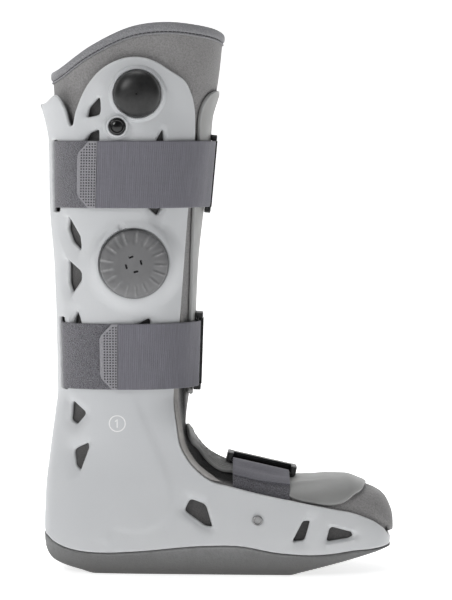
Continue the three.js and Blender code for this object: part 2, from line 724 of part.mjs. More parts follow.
// Foot strap: it rises inside the shell on each side and meets the ring on top of the instep

const footStart = footStrapReach - footWebbing / 2
const footEnd = footStrapReach + footWebbing / 2
const panelLayer = instepPanelWall + clearance + layer
const footRows = instepRows.map((row) => row.x).filter((x) => x > footStart && x < footEnd)
const footLevels = [footStart, ...footRows, footEnd]

// From the strap's end in the shell up to the ring: the distance from the top as a share of footDrop, and how far
// the strap has climbed from the liner onto the instep panel
const footRoute = [
  // distance, climbed
  [1, 0],
  [0.892, 0],
  [0.784, 0],
  [0.649, 0],
  [0.568, 0],
  [0.52, 0.32],
  [0.473, 0.7],
  [0.432, 1],
  [0.351, 1],
]

function footTrace(stations) {
  const ends = [footStart, footEnd].map((x) => instepAt(x).top)
  return (x) => {
    const loop = footLoop(instepAt(x), 0)
    const top = THREE.MathUtils.mapLinear(x, footStart, footEnd, ...ends)
    const front = new THREE.Vector2(0, top + clearance + instepPanelWall)
    return stations.flatMap((station) => {
      if (station.fold) {
        const points = foldPoints(station.fold, front, new THREE.Vector2(-1, 0))
        return station.reverse ? points.reverse() : points
      }
      return [loop.at(station.share + (station.arc ?? 0) / loop.length, station.offset)]
    })
  }
}

const onFootPlace = (x, point) => new THREE.Vector3(x, point.x, point.y)
const footClimb = barReach + footLead

// side is 1 on the lateral side, where the loop runs down from the top, and -1 on the medial side
function footStrapStations(side, foldBack) {
  const at = (arc, offset) => ({ share: 0.5, arc: side * arc, offset })
  const base = footRoute.map(([distance, climbed]) => (
    at(distance * footDrop, THREE.MathUtils.lerp(layer, panelLayer, climbed))
  ))
  const onPanel = [footClimb, barReach + barLead].map((arc) => at(arc, panelLayer))
  const backLayer = panelLayer + webbingWall + 1.6 * clearance
  const back = span(footClimb, footClimb + foldBack, 4).map((arc) => at(arc, backLayer))
  return [...base, ...onPanel, { fold: side }, ...back]
}

function footStrap(side, foldBack) {
  const solid = ribbon(footLevels, footTrace(footStrapStations(side, foldBack)), onFootPlace, webbingWall)
  return solid.subtract(rod(rivetShank / 2 + clearance, -far, far, rivetPlace, 12))
}

function rivet(side) {
  const wall = Math.abs(wallY(rivetPlace))
  const head = new THREE.CylinderGeometry(0.75 * rivetHead / 2, rivetHead / 2, rivetRise, 24)
  head.translate(0, rivetRise / 2 + clearance, 0)
  const shank = new THREE.CylinderGeometry(rivetShank / 2, rivetShank / 2, shellWall + 4 * clearance, 12)
  shank.translate(0, (4 * clearance - shellWall) / 2, 0)
  return { shape: solidOf(head).add(solidOf(shank)), y: side * (wall + 1.7 * clearance) }
}

function bulb() {
  const radius = bulbDiameter / 2
  const dome = span(0, 90, 6).map((degrees) => {
    const turn = THREE.MathUtils.degToRad(degrees)
    return new THREE.Vector2(radius * Math.cos(turn), bulbHeight * (0.2 + 0.8 * Math.sin(turn)))
  })
  dome[dome.length - 1].x = 0
  return new THREE.LatheGeometry([new THREE.Vector2(0, 0), new THREE.Vector2(radius, 0), ...dome], lathePoints)
}

function button() {
  const radius = buttonDiameter / 2
  const profile = [[0, 0], [radius, 0], [radius, buttonLength - 1.5], [radius - 0.6, buttonLength - 0.5],
    [radius - 2, buttonLength], [0, buttonLength]]
  return new THREE.LatheGeometry(profile.map(([x, y]) => new THREE.Vector2(x, y)), lathePoints)
}

function buttonCollar() {
  const inner = buttonDiameter / 2 + clearance
  const profile = [[inner, 0], [inner + collarWall, 0], [inner + collarWall, collarHeight * 0.7],
    [inner + collarWall * 0.7, collarHeight], [inner, collarHeight], [inner, 0]]
  return new THREE.LatheGeometry(profile.map(([x, y]) => new THREE.Vector2(x, y)), lathePoints)
}

// The dial: a low dome with radial grooves in its outer band, on a spindle
function dial() {
  const radius = dialDiameter / 2
  const profile = [[0, 0], [radius, 0], [radius, dialHeight * 0.55], [radius * 0.95, dialHeight * 0.8],
    [radius * 0.6, dialHeight], [0, dialHeight]]
  let body = solidOf(new THREE.LatheGeometry(profile.map(([x, y]) => new THREE.Vector2(x, y)), 2 * dialRidges))
  const spindle = new THREE.CylinderGeometry(spindleDiameter / 2, spindleDiameter / 2, spindleLength + 1, 24)
  spindle.translate(0, (1 - spindleLength) / 2, 0)
  body = body.add(solidOf(spindle))
  for (let k = 0; k < dialRidges; k += 1) {
    const groove = new THREE.CylinderGeometry(dialGroove, 0.3 * dialGroove, radius * 0.5, 3)
    groove.rotateZ(Math.PI / 2)
    groove.translate(radius * 0.86, dialHeight * 0.98, 0)
    groove.rotateY(2 * Math.PI * k / dialRidges)
    body = body.subtract(solidOf(groove))
  }
  return body
}

// The assembly

const group = new THREE.Group()
const upper = legStrap(upperStrapHeight, upperTab[1])
const lower = legStrap(lowerStrapHeight, lowerTab[1])

piece('outsole', outsole(), 'outsole', group)
piece('shell', shell([...upper.slots, ...lower.slots]), 'shell', group)
piece('shin_panel', shinPanel(), 'panel', group)
piece('instep_panel', instepPanel(), 'panel', group)
piece('liner', liner(), 'liner', group)
piece('collar_binding', collarBinding(), 'binding', group)
piece('upper_strap', upper.strap, 'webbing', group)
piece('lower_strap', lower.strap, 'webbing', group)
piece('upper_hook_tab', hookTab(upper, upperTab), 'tab', group)
piece('lower_hook_tab', hookTab(lower, lowerTab), 'tab', group)
piece('forefoot_strap', footStrap(1, footTail), 'webbing', group)
piece('forefoot_keeper', footStrap(-1, keeperTail), 'webbing', group)

for (const [name, leg] of [['upper_ring', upper], ['lower_ring', lower]]) {
  const ring = piece(name, ringGeometry(ringOpening, legWebbing + 2 * clearance), 'black', group)
  const [low, high] = [leg.frontOf(leg.bottom), leg.frontOf(leg.top)]
  ring.rotation.set(Math.PI / 2, Math.PI / 2, 0)
  const frame = new THREE.Group()
  frame.position.set((low.x + high.x) / 2 + barCentre, 0, (leg.bottom + leg.top) / 2)
  frame.rotation.y = Math.atan2(high.x - low.x, legWebbing)
  frame.add(ring)
  group.add(frame)
}

const instepEnds = [footStart, footEnd].map((x) => instepAt(x).top)
const instepSlope = Math.atan2(instepEnds[0] - instepEnds[1], footWebbing)
const footRingLength = footWebbing / Math.cos(instepSlope) + ringWire * Math.tan(instepSlope) + 2 * clearance
const footRing = piece('forefoot_ring', ringGeometry(ringOpening, footRingLength), 'black', group)
footRing.rotation.z = Math.PI / 2
const footFrame = new THREE.Group()
const instepTop = (instepEnds[0] + instepEnds[1]) / 2 + clearance + instepPanelWall
footFrame.position.set(footStrapReach, 0, instepTop + barCentre)
footFrame.rotation.y = instepSlope
footFrame.add(footRing)
group.add(footFrame)

// Round pieces are turned about their own Y axis, which points out of the lateral side
function mountLateral(name, shape, material, [x, z], y) {
  const mesh = piece(name, shape, material, group)
  mesh.position.set(x, y, z)
  mesh.rotation.x = Math.PI
  return mesh
}

mountLateral('pump_bulb', bulb(), 'rubber', bulbPlace, bulbFace - clearance)
mountLateral('release_button', button(), 'rubber', buttonPlace, buttonFace - collarHeight - 2 + buttonLength)
mountLateral('button_collar', buttonCollar(), 'dial', buttonPlace, buttonFace - clearance)
mountLateral('selector_dial', dial(), 'dial', dialPlace, dialFace - clearance)

const lateral = rivet(-1)
mountLateral('lateral_rivet', lateral.shape, 'rivet', rivetPlace, lateral.y)
const medial = rivet(1)
piece('medial_rivet', medial.shape, 'rivet', group).position.set(rivetPlace[0], medial.y, rivetPlace[1])

export default group
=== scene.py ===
"""A medical walking boot: satin shell, padded liner, rocker outsole, webbing straps and controls, on a pale floor."""
import math

import bmesh
import bpy
import numpy as np
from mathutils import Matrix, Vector, geometry, noise


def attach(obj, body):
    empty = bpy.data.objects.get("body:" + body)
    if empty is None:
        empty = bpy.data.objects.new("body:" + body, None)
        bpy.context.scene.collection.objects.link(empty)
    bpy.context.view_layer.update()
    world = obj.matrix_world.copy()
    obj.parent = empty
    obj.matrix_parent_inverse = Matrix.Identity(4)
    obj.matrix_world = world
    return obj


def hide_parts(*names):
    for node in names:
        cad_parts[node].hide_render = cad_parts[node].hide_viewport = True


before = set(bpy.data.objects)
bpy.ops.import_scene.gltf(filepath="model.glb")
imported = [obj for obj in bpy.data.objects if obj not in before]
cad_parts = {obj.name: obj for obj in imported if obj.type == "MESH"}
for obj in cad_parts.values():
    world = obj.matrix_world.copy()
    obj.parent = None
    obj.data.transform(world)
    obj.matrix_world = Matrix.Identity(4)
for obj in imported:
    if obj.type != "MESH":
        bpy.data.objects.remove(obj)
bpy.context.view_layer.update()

# Lengths below are in millimetres, in the frame's axes: toe +X, up +Z, lateral side -Y. Meshes are made in metres.
MM = 0.001

# Driving dimensions
BOOT_HEIGHT = 421.0
ANKLE_HEIGHT = 138.0
CALF_DEPTH = 126.0
CALF_WIDTH = 124.0
HEEL_WIDTH = 82.0
BALL_WIDTH = 104.0
HEEL_REACH = 64.5
TOE_REACH = 208.5
SHELL_WALL = 3.0
SHELL_FLOOR = 3.0
LINER_WALL = 6.0
FOOTBED = 4.0
SHIN_PANEL_WALL = 2.5
INSTEP_PANEL_WALL = 2.5
CLEARANCE = 0.35
LEG_WEBBING = 50.8
FOOT_WEBBING = 44.0
WEBBING_WALL = 1.5
WEBBING_SPACE = 2.0
RING_WIRE = 1.6
RING_BAR = 4.5
RING_OPENING = 15.0
STRAP_FOLD_BACK = 30.0
FOOT_TAIL = 11.0
KEEPER_TAIL = 8.0
SLOT_SHARE = 0.075
BULB_DIAMETER = 35.6
BULB_HEIGHT = 13.0
BULB_RIM = 2.4
BUTTON_DIAMETER = 12.6
BUTTON_LENGTH = 7.5
COLLAR_WALL = 1.6
COLLAR_HEIGHT = 2.0
COLLAR_TO_STRAP = 2.6
COLLAR_TO_BULB = 0.45
CONTROLS_TILT = 58.2
DIAL_DIAMETER = 51.0
DIAL_HEIGHT = 8.0
DIAL_RIDGES = 17
DIAL_PAD = 60.0
DIAL_GAP = 1.0
BOSS_RISE = 1.5
RIVET_HEAD = 8.0
BINDING_HEIGHT = 5.0
BINDING_WALL = 1.2

LEG_HEIGHT = BOOT_HEIGHT - ANKLE_HEIGHT
LINER_INSET = SHELL_WALL + WEBBING_SPACE + 2.6 * CLEARANCE
LINER_ROUNDNESS = 2.5

# Leg sections: heights are shares of LEG_HEIGHT, half widths of CALF_WIDTH, the rest of CALF_DEPTH.
LEG_SECTIONS = [
    # height, back, back_lean, front, front_lean, half_width, power
    (0.0, -0.431, 0, 0.406, 0, 0.351, 2.4),
    (0.198, -0.437, 0, 0.424, 0, 0.403, 2.35),
    (0.35, -0.448, 0, 0.439, 0, 0.445, 2.3),
    (0.509, -0.475, 0, 0.476, 0, 0.481, 2.3),
    (0.689, -0.481, 0, 0.518, 0, 0.5, 2.3),
    (0.749, -0.506, 0.02, 0.53, 0, 0.502, 2.3),
    (0.82, -0.548, 0.055, 0.574, 0, 0.504, 2.3),
    (0.912, -0.5635, 0.06, 0.603, 0, 0.504, 2.3),
    (1.02, -0.57, 0.06, 0.622, 0, 0.508, 2.3),
]

# Foot sections: height of ANKLE_HEIGHT, back of HEEL_REACH, front of TOE_REACH, half widths of HEEL_WIDTH and
# BALL_WIDTH, leg_front of CALF_DEPTH.
FOOT_SECTIONS = [
    # height, back, front, rear_half, fore_half, leg_front, power
    (-0.0145, -0.961, 0.974, 0.47, 0.471, 0.32, 4),
    (0.087, -0.977, 0.978, 0.485, 0.484, 0.32, 4),
    (0.217, -1.0, 0.985, 0.5, 0.5, 0.32, 4),
    (0.449, -0.9845, 0.945, 0.496, 0.476, 0.333, 3.8),
    (0.681, -0.929, 0.585, 0.4915, 0.421, 0.348, 3.1),
    (0.899, -0.868, 0.302, 0.512, 0.404, 0.368, 2.55),
]

# The top of the liner's foot: reach is a share of TOE_REACH, top and base of ANKLE_HEIGHT.
INSTEP_LINE = [
    # reach, top, base
    (0.06, 0.93, 0.06),
    (0.22, 0.797, 0.06),
    (0.25, 0.722, 0.06),
    (0.283, 0.661, 0.06),
    (0.336, 0.607, 0.06),
    (0.39, 0.575, 0.06),
    (0.614, 0.5, 0.06),
    (0.68, 0.5, 0.06),
    (0.748, 0.508, 0.06),
    (0.815, 0.506, 0.06),
    (0.873, 0.477, 0.07),
    (0.926, 0.448, 0.09),
    (0.966, 0.405, 0.12),
    (0.986, 0.345, 0.16),
    (0.999, 0.29, 0.2),
]


def on_leg(x, z):
    """A place in side view, as shares of the calf's depth and the leg's height."""
    return (x * CALF_DEPTH, ANKLE_HEIGHT + z * LEG_HEIGHT)


def on_foot(x, z):
    """A place in side view, as shares of the toe's or heel's reach and the ankle's height."""
    return (x * (HEEL_REACH if x < 0 else TOE_REACH), z * ANKLE_HEIGHT)


SEAM = [
    on_foot(-1.1, 0.225), on_foot(-0.96, 0.2), on_foot(-0.885, 0.172), on_foot(-0.743, 0.142),
    on_foot(-0.533, 0.122), on_foot(-0.307, 0.116), on_foot(0, 0.122), on_foot(0.09, 0.133),
    on_foot(0.188, 0.149), on_foot(0.288, 0.161), on_foot(0.42, 0.161), on_foot(0.546, 0.127),
    on_foot(0.62, 0.116), on_foot(0.694, 0.112), on_foot(0.767, 0.12), on_foot(0.841, 0.135),
    on_foot(0.915, 0.14), on_foot(0.974, 0.15), on_foot(1.1, 0.165),
]
TREAD = [
    on_foot(-1.1, 0.19), on_foot(-0.985, 0.125), on_foot(-0.933, 0.088), on_foot(-0.879, 0.067),
    on_foot(-0.743, 0.043), on_foot(-0.535, 0.018), on_foot(-0.38, 0), on_foot(0.604, 0), on_foot(0.642, 0.014),
    on_foot(0.716, 0.042), on_foot(0.815, 0.08), on_foot(0.915, 0.118), on_foot(0.974, 0.137),
    on_foot(1.1, 0.155),
]
SHELL_EDGE = [
    on_leg(-0.65, 0.792), on_leg(-0.5, 0.79), on_leg(-0.425, 0.811), on_leg(-0.367, 0.776),
    on_leg(-0.332, 0.729), on_leg(-0.318, 0.729), on_leg(-0.293, 0.77), on_leg(-0.233, 0.829), on_leg(-0.143, 0.877),
    on_leg(-0.023, 0.906), on_leg(0.09, 0.912), on_leg(0.187, 0.901), on_leg(0.276, 0.877),
    on_leg(0.366, 0.85), on_leg(0.402, 0.82), on_leg(0.425, 0.775), on_leg(0.425, 0.686),
    on_leg(0.383, 0.491), on_leg(0.334, 0.21), on_leg(0.298, 0.021), on_foot(0.178, 0.962),
    on_foot(0.188, 0.833), on_foot(0.2, 0.723), on_foot(0.23, 0.639), on_foot(0.258, 0.589),
    on_foot(0.314, 0.527), on_foot(0.391, 0.494), on_foot(0.494, 0.455), on_foot(0.619, 0.416),
    on_foot(0.693, 0.393), on_foot(0.766, 0.371), on_foot(0.839, 0.348), on_foot(0.919, 0.296),
    on_foot(0.957, 0.25), on_foot(0.978, 0.206), on_foot(1.1, 0.17),
]
SHIN_PANEL_EDGE = [
    on_leg(0.381, 0.004), on_leg(0.402, 0.233), on_leg(0.423, 0.509), on_leg(0.453, 0.689),
    on_leg(0.46, 0.756), on_leg(0.49, 0.795), on_leg(0.544, 0.82), on_leg(0.7, 0.826),
]
INSTEP_PANEL_EDGE = [
    on_foot(0.219, 1.0), on_foot(0.219, 0.806), on_foot(0.236, 0.726), on_foot(0.262, 0.681),
    on_foot(0.295, 0.62), on_foot(0.343, 0.568), on_foot(0.393, 0.55), on_foot(0.59, 0.49),
    on_foot(0.6, 0.43), on_foot(0.64, 0.405), on_foot(0.69, 0.392), on_foot(0.757, 0.384), on_foot(0.808, 0.402),
    on_foot(0.846, 0.44), on_foot(0.875, 0.455), on_foot(0.872, 0.483), on_foot(0.846, 0.518),
    on_foot(0.82, 0.56),
]
RIM = [
    on_leg(-0.7, 0.855), on_leg(-0.47, 0.868), on_leg(-0.411, 0.876), on_leg(-0.202, 0.938),
    on_leg(0.038, 0.987), on_leg(0.247, 1.0), on_leg(0.456, 0.993), on_leg(0.563, 0.982),
    on_leg(0.62, 0.966), on_leg(0.8, 0.94),
]

# Openings through the side walls. The recess round each is the opening grown about its middle by a factor and
# shifted towards where the wall slopes most, in millimetres.
WINDOWS = [
    # outline, grow, shift
    ([on_leg(-0.228, 0.75), on_leg(-0.216, 0.776), on_leg(-0.147, 0.808), on_leg(-0.141, 0.758)], 1.45, (-1.5, 3)),
    ([on_leg(-0.242, 0.688), on_leg(-0.211, 0.71), on_leg(-0.151, 0.719), on_leg(-0.152, 0.62),
      on_leg(-0.231, 0.512)], 1.25, (-1, 2)),
    ([on_leg(0.197, 0.688), on_leg(0.239, 0.722), on_leg(0.251, 0.664), on_leg(0.233, 0.512),
      on_leg(0.202, 0.488), on_leg(0.136, 0.515)], 1.32, (0.5, -1)),
    ([on_leg(-0.345, 0.49), on_leg(-0.265, 0.43), on_leg(-0.274, 0.392), on_leg(-0.331, 0.414),
      on_leg(-0.365, 0.451)], 1.4, (-1.5, -3.5)),
    ([on_leg(-0.362, 0.373), on_leg(-0.268, 0.338), on_leg(-0.269, 0.316), on_leg(-0.336, 0.275),
      on_leg(-0.362, 0.303)], 1.4, (-1.5, -2)),
    ([on_leg(-0.3, 0.23), on_leg(-0.27, 0.19), on_leg(-0.29, 0.138), on_leg(-0.328, 0.178),
      on_leg(-0.325, 0.21)], 1.5, (-0.5, 3)),
    ([on_leg(0.159, 0.214), on_leg(0.168, 0.141), on_leg(0.128, 0.128), on_leg(0.056, 0.187)], 1.5, (2, 2.5)),
    ([on_leg(-0.345, -0.013), on_leg(-0.244, -0.049), on_leg(-0.309, -0.082), on_leg(-0.35, -0.07)],
     1.7, (-0.5, -0.5)),
    ([on_foot(-0.64, 0.695), on_foot(-0.456, 0.732), on_foot(-0.451, 0.704), on_foot(-0.552, 0.579),
      on_foot(-0.608, 0.603)], 1.8, (-1.5, 0.5)),
    ([on_foot(0.215, 0.36), on_foot(0.237, 0.427), on_foot(0.294, 0.396), on_foot(0.318, 0.271),
      on_foot(0.292, 0.276)], 1.5, (-1.5, 0)),
    ([on_foot(0.652, 0.307), on_foot(0.679, 0.309), on_foot(0.657, 0.195), on_foot(0.612, 0.189)], 1.5, (1.5, -0.5)),
    ([on_foot(0.753, 0.277), on_foot(0.834, 0.243), on_foot(0.84, 0.22), on_foot(0.824, 0.207),
      on_foot(0.738, 0.187)], 1.45, (0.8, 0)),
]
WINDOW_ROUND = 0.26
RECESS_ROUND = 0.3
RECESS_DEPTH = 2.3

DIAL_PLACE = on_leg(0.058, 0.36)
RIVET_PLACE = on_foot(0.485, 0.31)
MARK_PLACE = on_leg(-0.05, -0.075)
UPPER_STRAP_HEIGHT = on_leg(0, 0.599)[1]
LOWER_STRAP_HEIGHT = on_leg(0, 0.1075)[1]
COLLAR_RADIUS = BUTTON_DIAMETER / 2 + CLEARANCE + COLLAR_WALL
BUTTON_PLACE = (on_leg(-0.039, 0)[0], UPPER_STRAP_HEIGHT + LEG_WEBBING / 2 + COLLAR_TO_STRAP + COLLAR_RADIUS)
BULB_AWAY = COLLAR_RADIUS + COLLAR_TO_BULB + BULB_DIAMETER / 2 + BULB_RIM
BULB_PLACE = (BUTTON_PLACE[0] + BULB_AWAY * math.cos(math.radians(CONTROLS_TILT)),
              BUTTON_PLACE[1] + BULB_AWAY * math.sin(math.radians(CONTROLS_TILT)))
FOOT_STRAP_REACH = on_foot(0.5, 0)[0]
UPPER_TAB = (-0.27, -0.157)
LOWER_TAB = (-0.148, -0.042)

# Soft relief on the shell's ankle: the line along which the heel part stands out from the rest
ANKLE_CREASE = [
    on_leg(0.02, 0.02), on_foot(0.06, 0.86), on_foot(0.13, 0.62), on_foot(0.165, 0.44),
    on_foot(0.15, 0.33), on_foot(0.1, 0.27), on_foot(0.03, 0.25), on_foot(-0.16, 0.26), on_foot(-0.22, 0.18),
]


# Interpolation


def monotone(x, table, at):
    """Every column of a table given at x, at new places, by a cubic that stays between its rows."""
    x = np.asarray(x, float)
    table = np.asarray(table, float)
    at = np.clip(np.asarray(at, float), x[0], x[-1])
    step = np.diff(x)[:, None]
    slope = np.diff(table, axis=0) / step
    lead = 2 * step[1:] + step[:-1]
    trail = step[1:] + 2 * step[:-1]
    same = slope[:-1] * slope[1:] > 0
    safe_a = np.where(same, slope[:-1], 1.0)
    safe_b = np.where(same, slope[1:], 1.0)
    middle = np.where(same, (lead + trail) / (lead / safe_a + trail / safe_b), 0.0)
    tangent = np.vstack([slope[:1], middle, slope[-1:]])
    k = np.clip(np.searchsorted(x, at, side="right") - 1, 0, len(x) - 2)
    t = ((at - x[k]) / (x[k + 1] - x[k]))[:, None]
    h = (x[k + 1] - x[k])[:, None]
    return ((2 * t**3 - 3 * t**2 + 1) * table[k] + (t**3 - 2 * t**2 + t) * h * tangent[k]
            + (3 * t**2 - 2 * t**3) * table[k + 1] + (t**3 - t**2) * h * tangent[k + 1])


def smoothstep(low, high, value):
    t = np.clip((np.asarray(value, float) - low) / (high - low), 0, 1)
    return t * t * (3 - 2 * t)


def curve_through(points, spacing, closed=False):
    """A centripetal Catmull-Rom curve through the points, with a step of about the spacing."""
    p = np.asarray(points, float)
    if closed:
        p = np.vstack([p[-1], p, p[:2]])
    else:
        p = np.vstack([2 * p[0] - p[1], p, 2 * p[-1] - p[-2]])
    out = []
    for a, b, c, d in zip(p[:-3], p[1:-2], p[2:-1], p[3:]):
        t0 = 0.0
        t1 = t0 + max(np.linalg.norm(b - a), 1e-6) ** 0.5
        t2 = t1 + max(np.linalg.norm(c - b), 1e-6) ** 0.5
        t3 = t2 + max(np.linalg.norm(d - c), 1e-6) ** 0.5
        count = max(2, int(np.linalg.norm(c - b) / spacing))
        for t in np.linspace(t1, t2, count, endpoint=False):
            a1 = (t1 - t) / (t1 - t0) * a + (t - t0) / (t1 - t0) * b
            a2 = (t2 - t) / (t2 - t1) * b + (t - t1) / (t2 - t1) * c
            a3 = (t3 - t) / (t3 - t2) * c + (t - t2) / (t3 - t2) * d
            b1 = (t2 - t) / (t2 - t0) * a1 + (t - t0) / (t2 - t0) * a2
            b2 = (t3 - t) / (t3 - t1) * a2 + (t - t1) / (t3 - t1) * a3
            out.append((t2 - t) / (t2 - t1) * b1 + (t - t1) / (t2 - t1) * b2)
    if not closed:
        out.append(p[-2])
    return np.array(out)


def round_corners(outline, share, steps=6):
    """A closed outline with each corner as a curve that starts a share of the shorter side away."""
    p = np.asarray(outline, float)
    out = []
    for k in range(len(p)):
        before = p[k - 1] - p[k]
        after = p[(k + 1) % len(p)] - p[k]
        reach = share * min(np.linalg.norm(before), np.linalg.norm(after))
        start = p[k] + before / np.linalg.norm(before) * reach
        end = p[k] + after / np.linalg.norm(after) * reach
        for t in np.linspace(0, 1, steps):
            out.append((1 - t) ** 2 * start + 2 * t * (1 - t) * p[k] + t * t * end)
    return np.array(out)


def resample(points, spacing, closed=False):
    p = np.asarray(points, float)
    if closed:
        p = np.vstack([p, p[:1]])
    arcs = np.concatenate([[0], np.cumsum(np.linalg.norm(np.diff(p, axis=0), axis=1))])
    count = max(3, int(round(arcs[-1] / spacing)) + 1)
    places = np.linspace(0, arcs[-1], count)
    out = np.stack([np.interp(places, arcs, p[:, k]) for k in range(p.shape[1])], axis=1)
    return out[:-1] if closed else out


def line_height(line, x):
    """The height of a side-view line at x."""
    p = np.asarray(line, float)
    order = np.argsort(p[:, 0])
    return np.interp(x, p[order, 0], p[order, 1])


def distance_to(points, line, closed=False):
    """The distance of each point to a line of points, and whether it lies on the line's left."""
    p = np.asarray(points, float)
    a = np.asarray(line, float)
    b = np.roll(a, -1, axis=0) if closed else a[1:]
    a = a if closed else a[:-1]
    best = np.full(len(p), np.inf)
    for start in range(0, len(p), 4000):
        q = p[start:start + 4000, None, :]
        span = (b - a)[None]
        t = np.clip(((q - a[None]) * span).sum(2) / np.maximum((span**2).sum(2), 1e-12), 0, 1)
        gap = np.linalg.norm(q - a[None] - t[..., None] * span, axis=2)
        best[start:start + 4000] = gap.min(axis=1)
    return best


def inside(points, outline):
    """Whether each point lies inside a closed outline."""
    p = np.asarray(points, float)
    a = np.asarray(outline, float)
    b = np.roll(a, -1, axis=0)
    result = np.zeros(len(p), bool)
    for start in range(0, len(p), 4000):
        x = p[start:start + 4000, 0][:, None]
        y = p[start:start + 4000, 1][:, None]
        crosses = (a[:, 1][None] > y) != (b[:, 1][None] > y)
        rise = np.where(b[:, 1] == a[:, 1], 1e-12, b[:, 1] - a[:, 1])[None]
        at = a[:, 0][None] + (y - a[:, 1][None]) / rise * (b[:, 0] - a[:, 0])[None]
        result[start:start + 4000] = (crosses & (x < at)).sum(axis=1) % 2 == 1
    return result


# The boot's sections and the surfaces made from them


def section_table():
    rows = []
    for height, back, front, rear, fore, leg_front, power in FOOT_SECTIONS:
        rows.append((height * ANKLE_HEIGHT, back * HEEL_REACH, front * TOE_REACH, rear * HEEL_WIDTH,
                     fore * BALL_WIDTH, back * HEEL_REACH + LINER_INSET, leg_front * CALF_DEPTH, power))
    for height, back, back_lean, front, front_lean, half, power in LEG_SECTIONS:
        rows.append((ANKLE_HEIGHT + height * LEG_HEIGHT, back * CALF_DEPTH, front * CALF_DEPTH,
                     half * CALF_WIDTH, half * CALF_WIDTH, (back + back_lean) * CALF_DEPTH + LINER_INSET,
                     (front - front_lean) * CALF_DEPTH - SHIN_PANEL_WALL - CLEARANCE, power))
    return np.array(rows)


SECTIONS = section_table()


def section_at(z):
    """back, front, rear_half, fore_half, liner_back, liner_front, power at heights z, one row each."""
    return monotone(SECTIONS[:, 0], SECTIONS[:, 1:], np.atleast_1d(z))


def half_width(back, front, rear, fore, power, x):
    share = np.clip((x - back) / (front - back), 0, 1)
    full = rear + (fore - rear) * smoothstep(0, 1, share)
    return full * np.maximum(1 - np.abs(2 * share - 1) ** power, 0) ** (1 / power)


OUTLINE_STEPS = 260


def outline_rows(back, front, rear, fore, power):
    """X and Y of the lateral half of each row's outline, from the middle of the back to that of the front."""
    turn = np.linspace(0, math.pi, OUTLINE_STEPS)[None]
    back, front, rear, fore, power = (v[:, None] for v in (back, front, rear, fore, power))
    middle = (back + front) / 2
    reach = (front - back) / 2
    x = middle - reach * np.sign(np.cos(turn)) * np.abs(np.cos(turn)) ** (2 / power)
    y = -half_width(back, front, rear, fore, power, x)
    y[:, 0] = 0
    y[:, -1] = 0
    return x, y


class Wrap:
    """A surface in rows, one for each level. Each row is a line on the lateral side, from one end of the boot's
    middle plane to the other, and the medial side is its mirror image. Places on it are the distance along
    the row, in millimetres, and the level."""

    columns = 400

    def __init__(self, levels, lines):
        self.levels = np.asarray(levels, float)
        steps = np.linalg.norm(np.diff(lines, axis=1), axis=2)
        arcs = np.concatenate([np.zeros((len(lines), 1)), np.cumsum(steps, axis=1)], axis=1)
        self.length = arcs[:, -1]
        share = np.linspace(0, 1, self.columns)
        self.grid = np.empty((len(lines), self.columns, 3))
        for row in range(len(lines)):
            for k in range(3):
                self.grid[row, :, k] = np.interp(share * self.length[row], arcs[row], lines[row, :, k])
        along = np.gradient(self.grid, axis=1)
        across = np.gradient(self.grid, axis=0)
        normal = np.cross(along, across)
        normal[:, [0, -1], 1] = 0
        self.normal = normal / np.maximum(np.linalg.norm(normal, axis=2, keepdims=True), 1e-9)

    def length_at(self, level):
        return np.interp(level, self.levels, self.length)

    def _mix(self, values, share, level):
        row = np.interp(level, self.levels, np.arange(len(self.levels)))
        column = np.clip(share, 0, 1) * (self.columns - 1)
        r = np.minimum(row.astype(int), len(self.levels) - 2)
        c = np.minimum(column.astype(int), self.columns - 2)
        fr = (row - r)[:, None]
        fc = (column - c)[:, None]
        return ((1 - fr) * ((1 - fc) * values[r, c] + fc * values[r, c + 1])
                + fr * ((1 - fc) * values[r + 1, c] + fc * values[r + 1, c + 1]))

    def at(self, arc, level, offset=0.0):
        """Points on the surface, moved out along its normal. A negative arc, or one past the row's length,
        goes on along the medial side."""
        arc, level, offset = np.broadcast_arrays(*(np.asarray(v, float) for v in (arc, level, offset)))
        shape = arc.shape
        arc, level, offset = arc.ravel(), level.ravel(), offset.ravel()
        share = arc / self.length_at(level)
        share = (share + 1) % 2 - 1
        side = np.where(share < 0, -1.0, 1.0)
        share = np.abs(share)
        point = self._mix(self.grid, share, level)
        normal = self._mix(self.normal, share, level)
        normal /= np.linalg.norm(normal, axis=1, keepdims=True)
        result = point + normal * offset[:, None]
        result[:, 1] *= side
        return result.reshape(*shape, 3)

    def normal_at(self, arc, level):
        share = np.abs((np.asarray(arc, float) / self.length_at(level) + 1) % 2 - 1)
        normal = self._mix(self.normal, share, np.asarray(level, float))
        return normal / np.linalg.norm(normal, axis=1, keepdims=True)

    def arc_of(self, coordinate, value, level):
        """The distance along the row at which a coordinate of the lateral side has a value."""
        value, level = np.broadcast_arrays(np.asarray(value, float), np.asarray(level, float))
        share = np.linspace(0, 1, self.columns)
        out = np.empty(value.size)
        rows = np.interp(level.ravel(), self.levels, np.arange(len(self.levels)))
        for k, (v, row) in enumerate(zip(value.ravel(), rows)):
            r = min(int(row), len(self.levels) - 2)
            line = self.grid[r, :, coordinate] * (1 - row + r) + self.grid[r + 1, :, coordinate] * (row - r)
            turn = 1 if line[-1] > line[0] else -1
            out[k] = np.interp(turn * v, turn * line, share)
        return out.reshape(value.shape) * self.length_at(level)


def standing_wrap(inset=0.0, liner=False):
    levels = np.arange(-2.0, 428.0, 1.0)
    back, front, rear, fore, liner_back, liner_front, power = section_at(levels).T
    if liner:
        back, front = liner_back, liner_front
        rear, fore = rear - LINER_INSET, fore - LINER_INSET
        power = np.minimum(power, LINER_ROUNDNESS)
    x, y = outline_rows(back + inset, front - inset, rear - inset, fore - inset, power)
    return Wrap(levels, np.stack([x, y, np.broadcast_to(levels[:, None], x.shape)], axis=2))


CROWN_POWER = 2.8
BASE_POWER = 4.0
MIDDLE_SHARE = 0.45


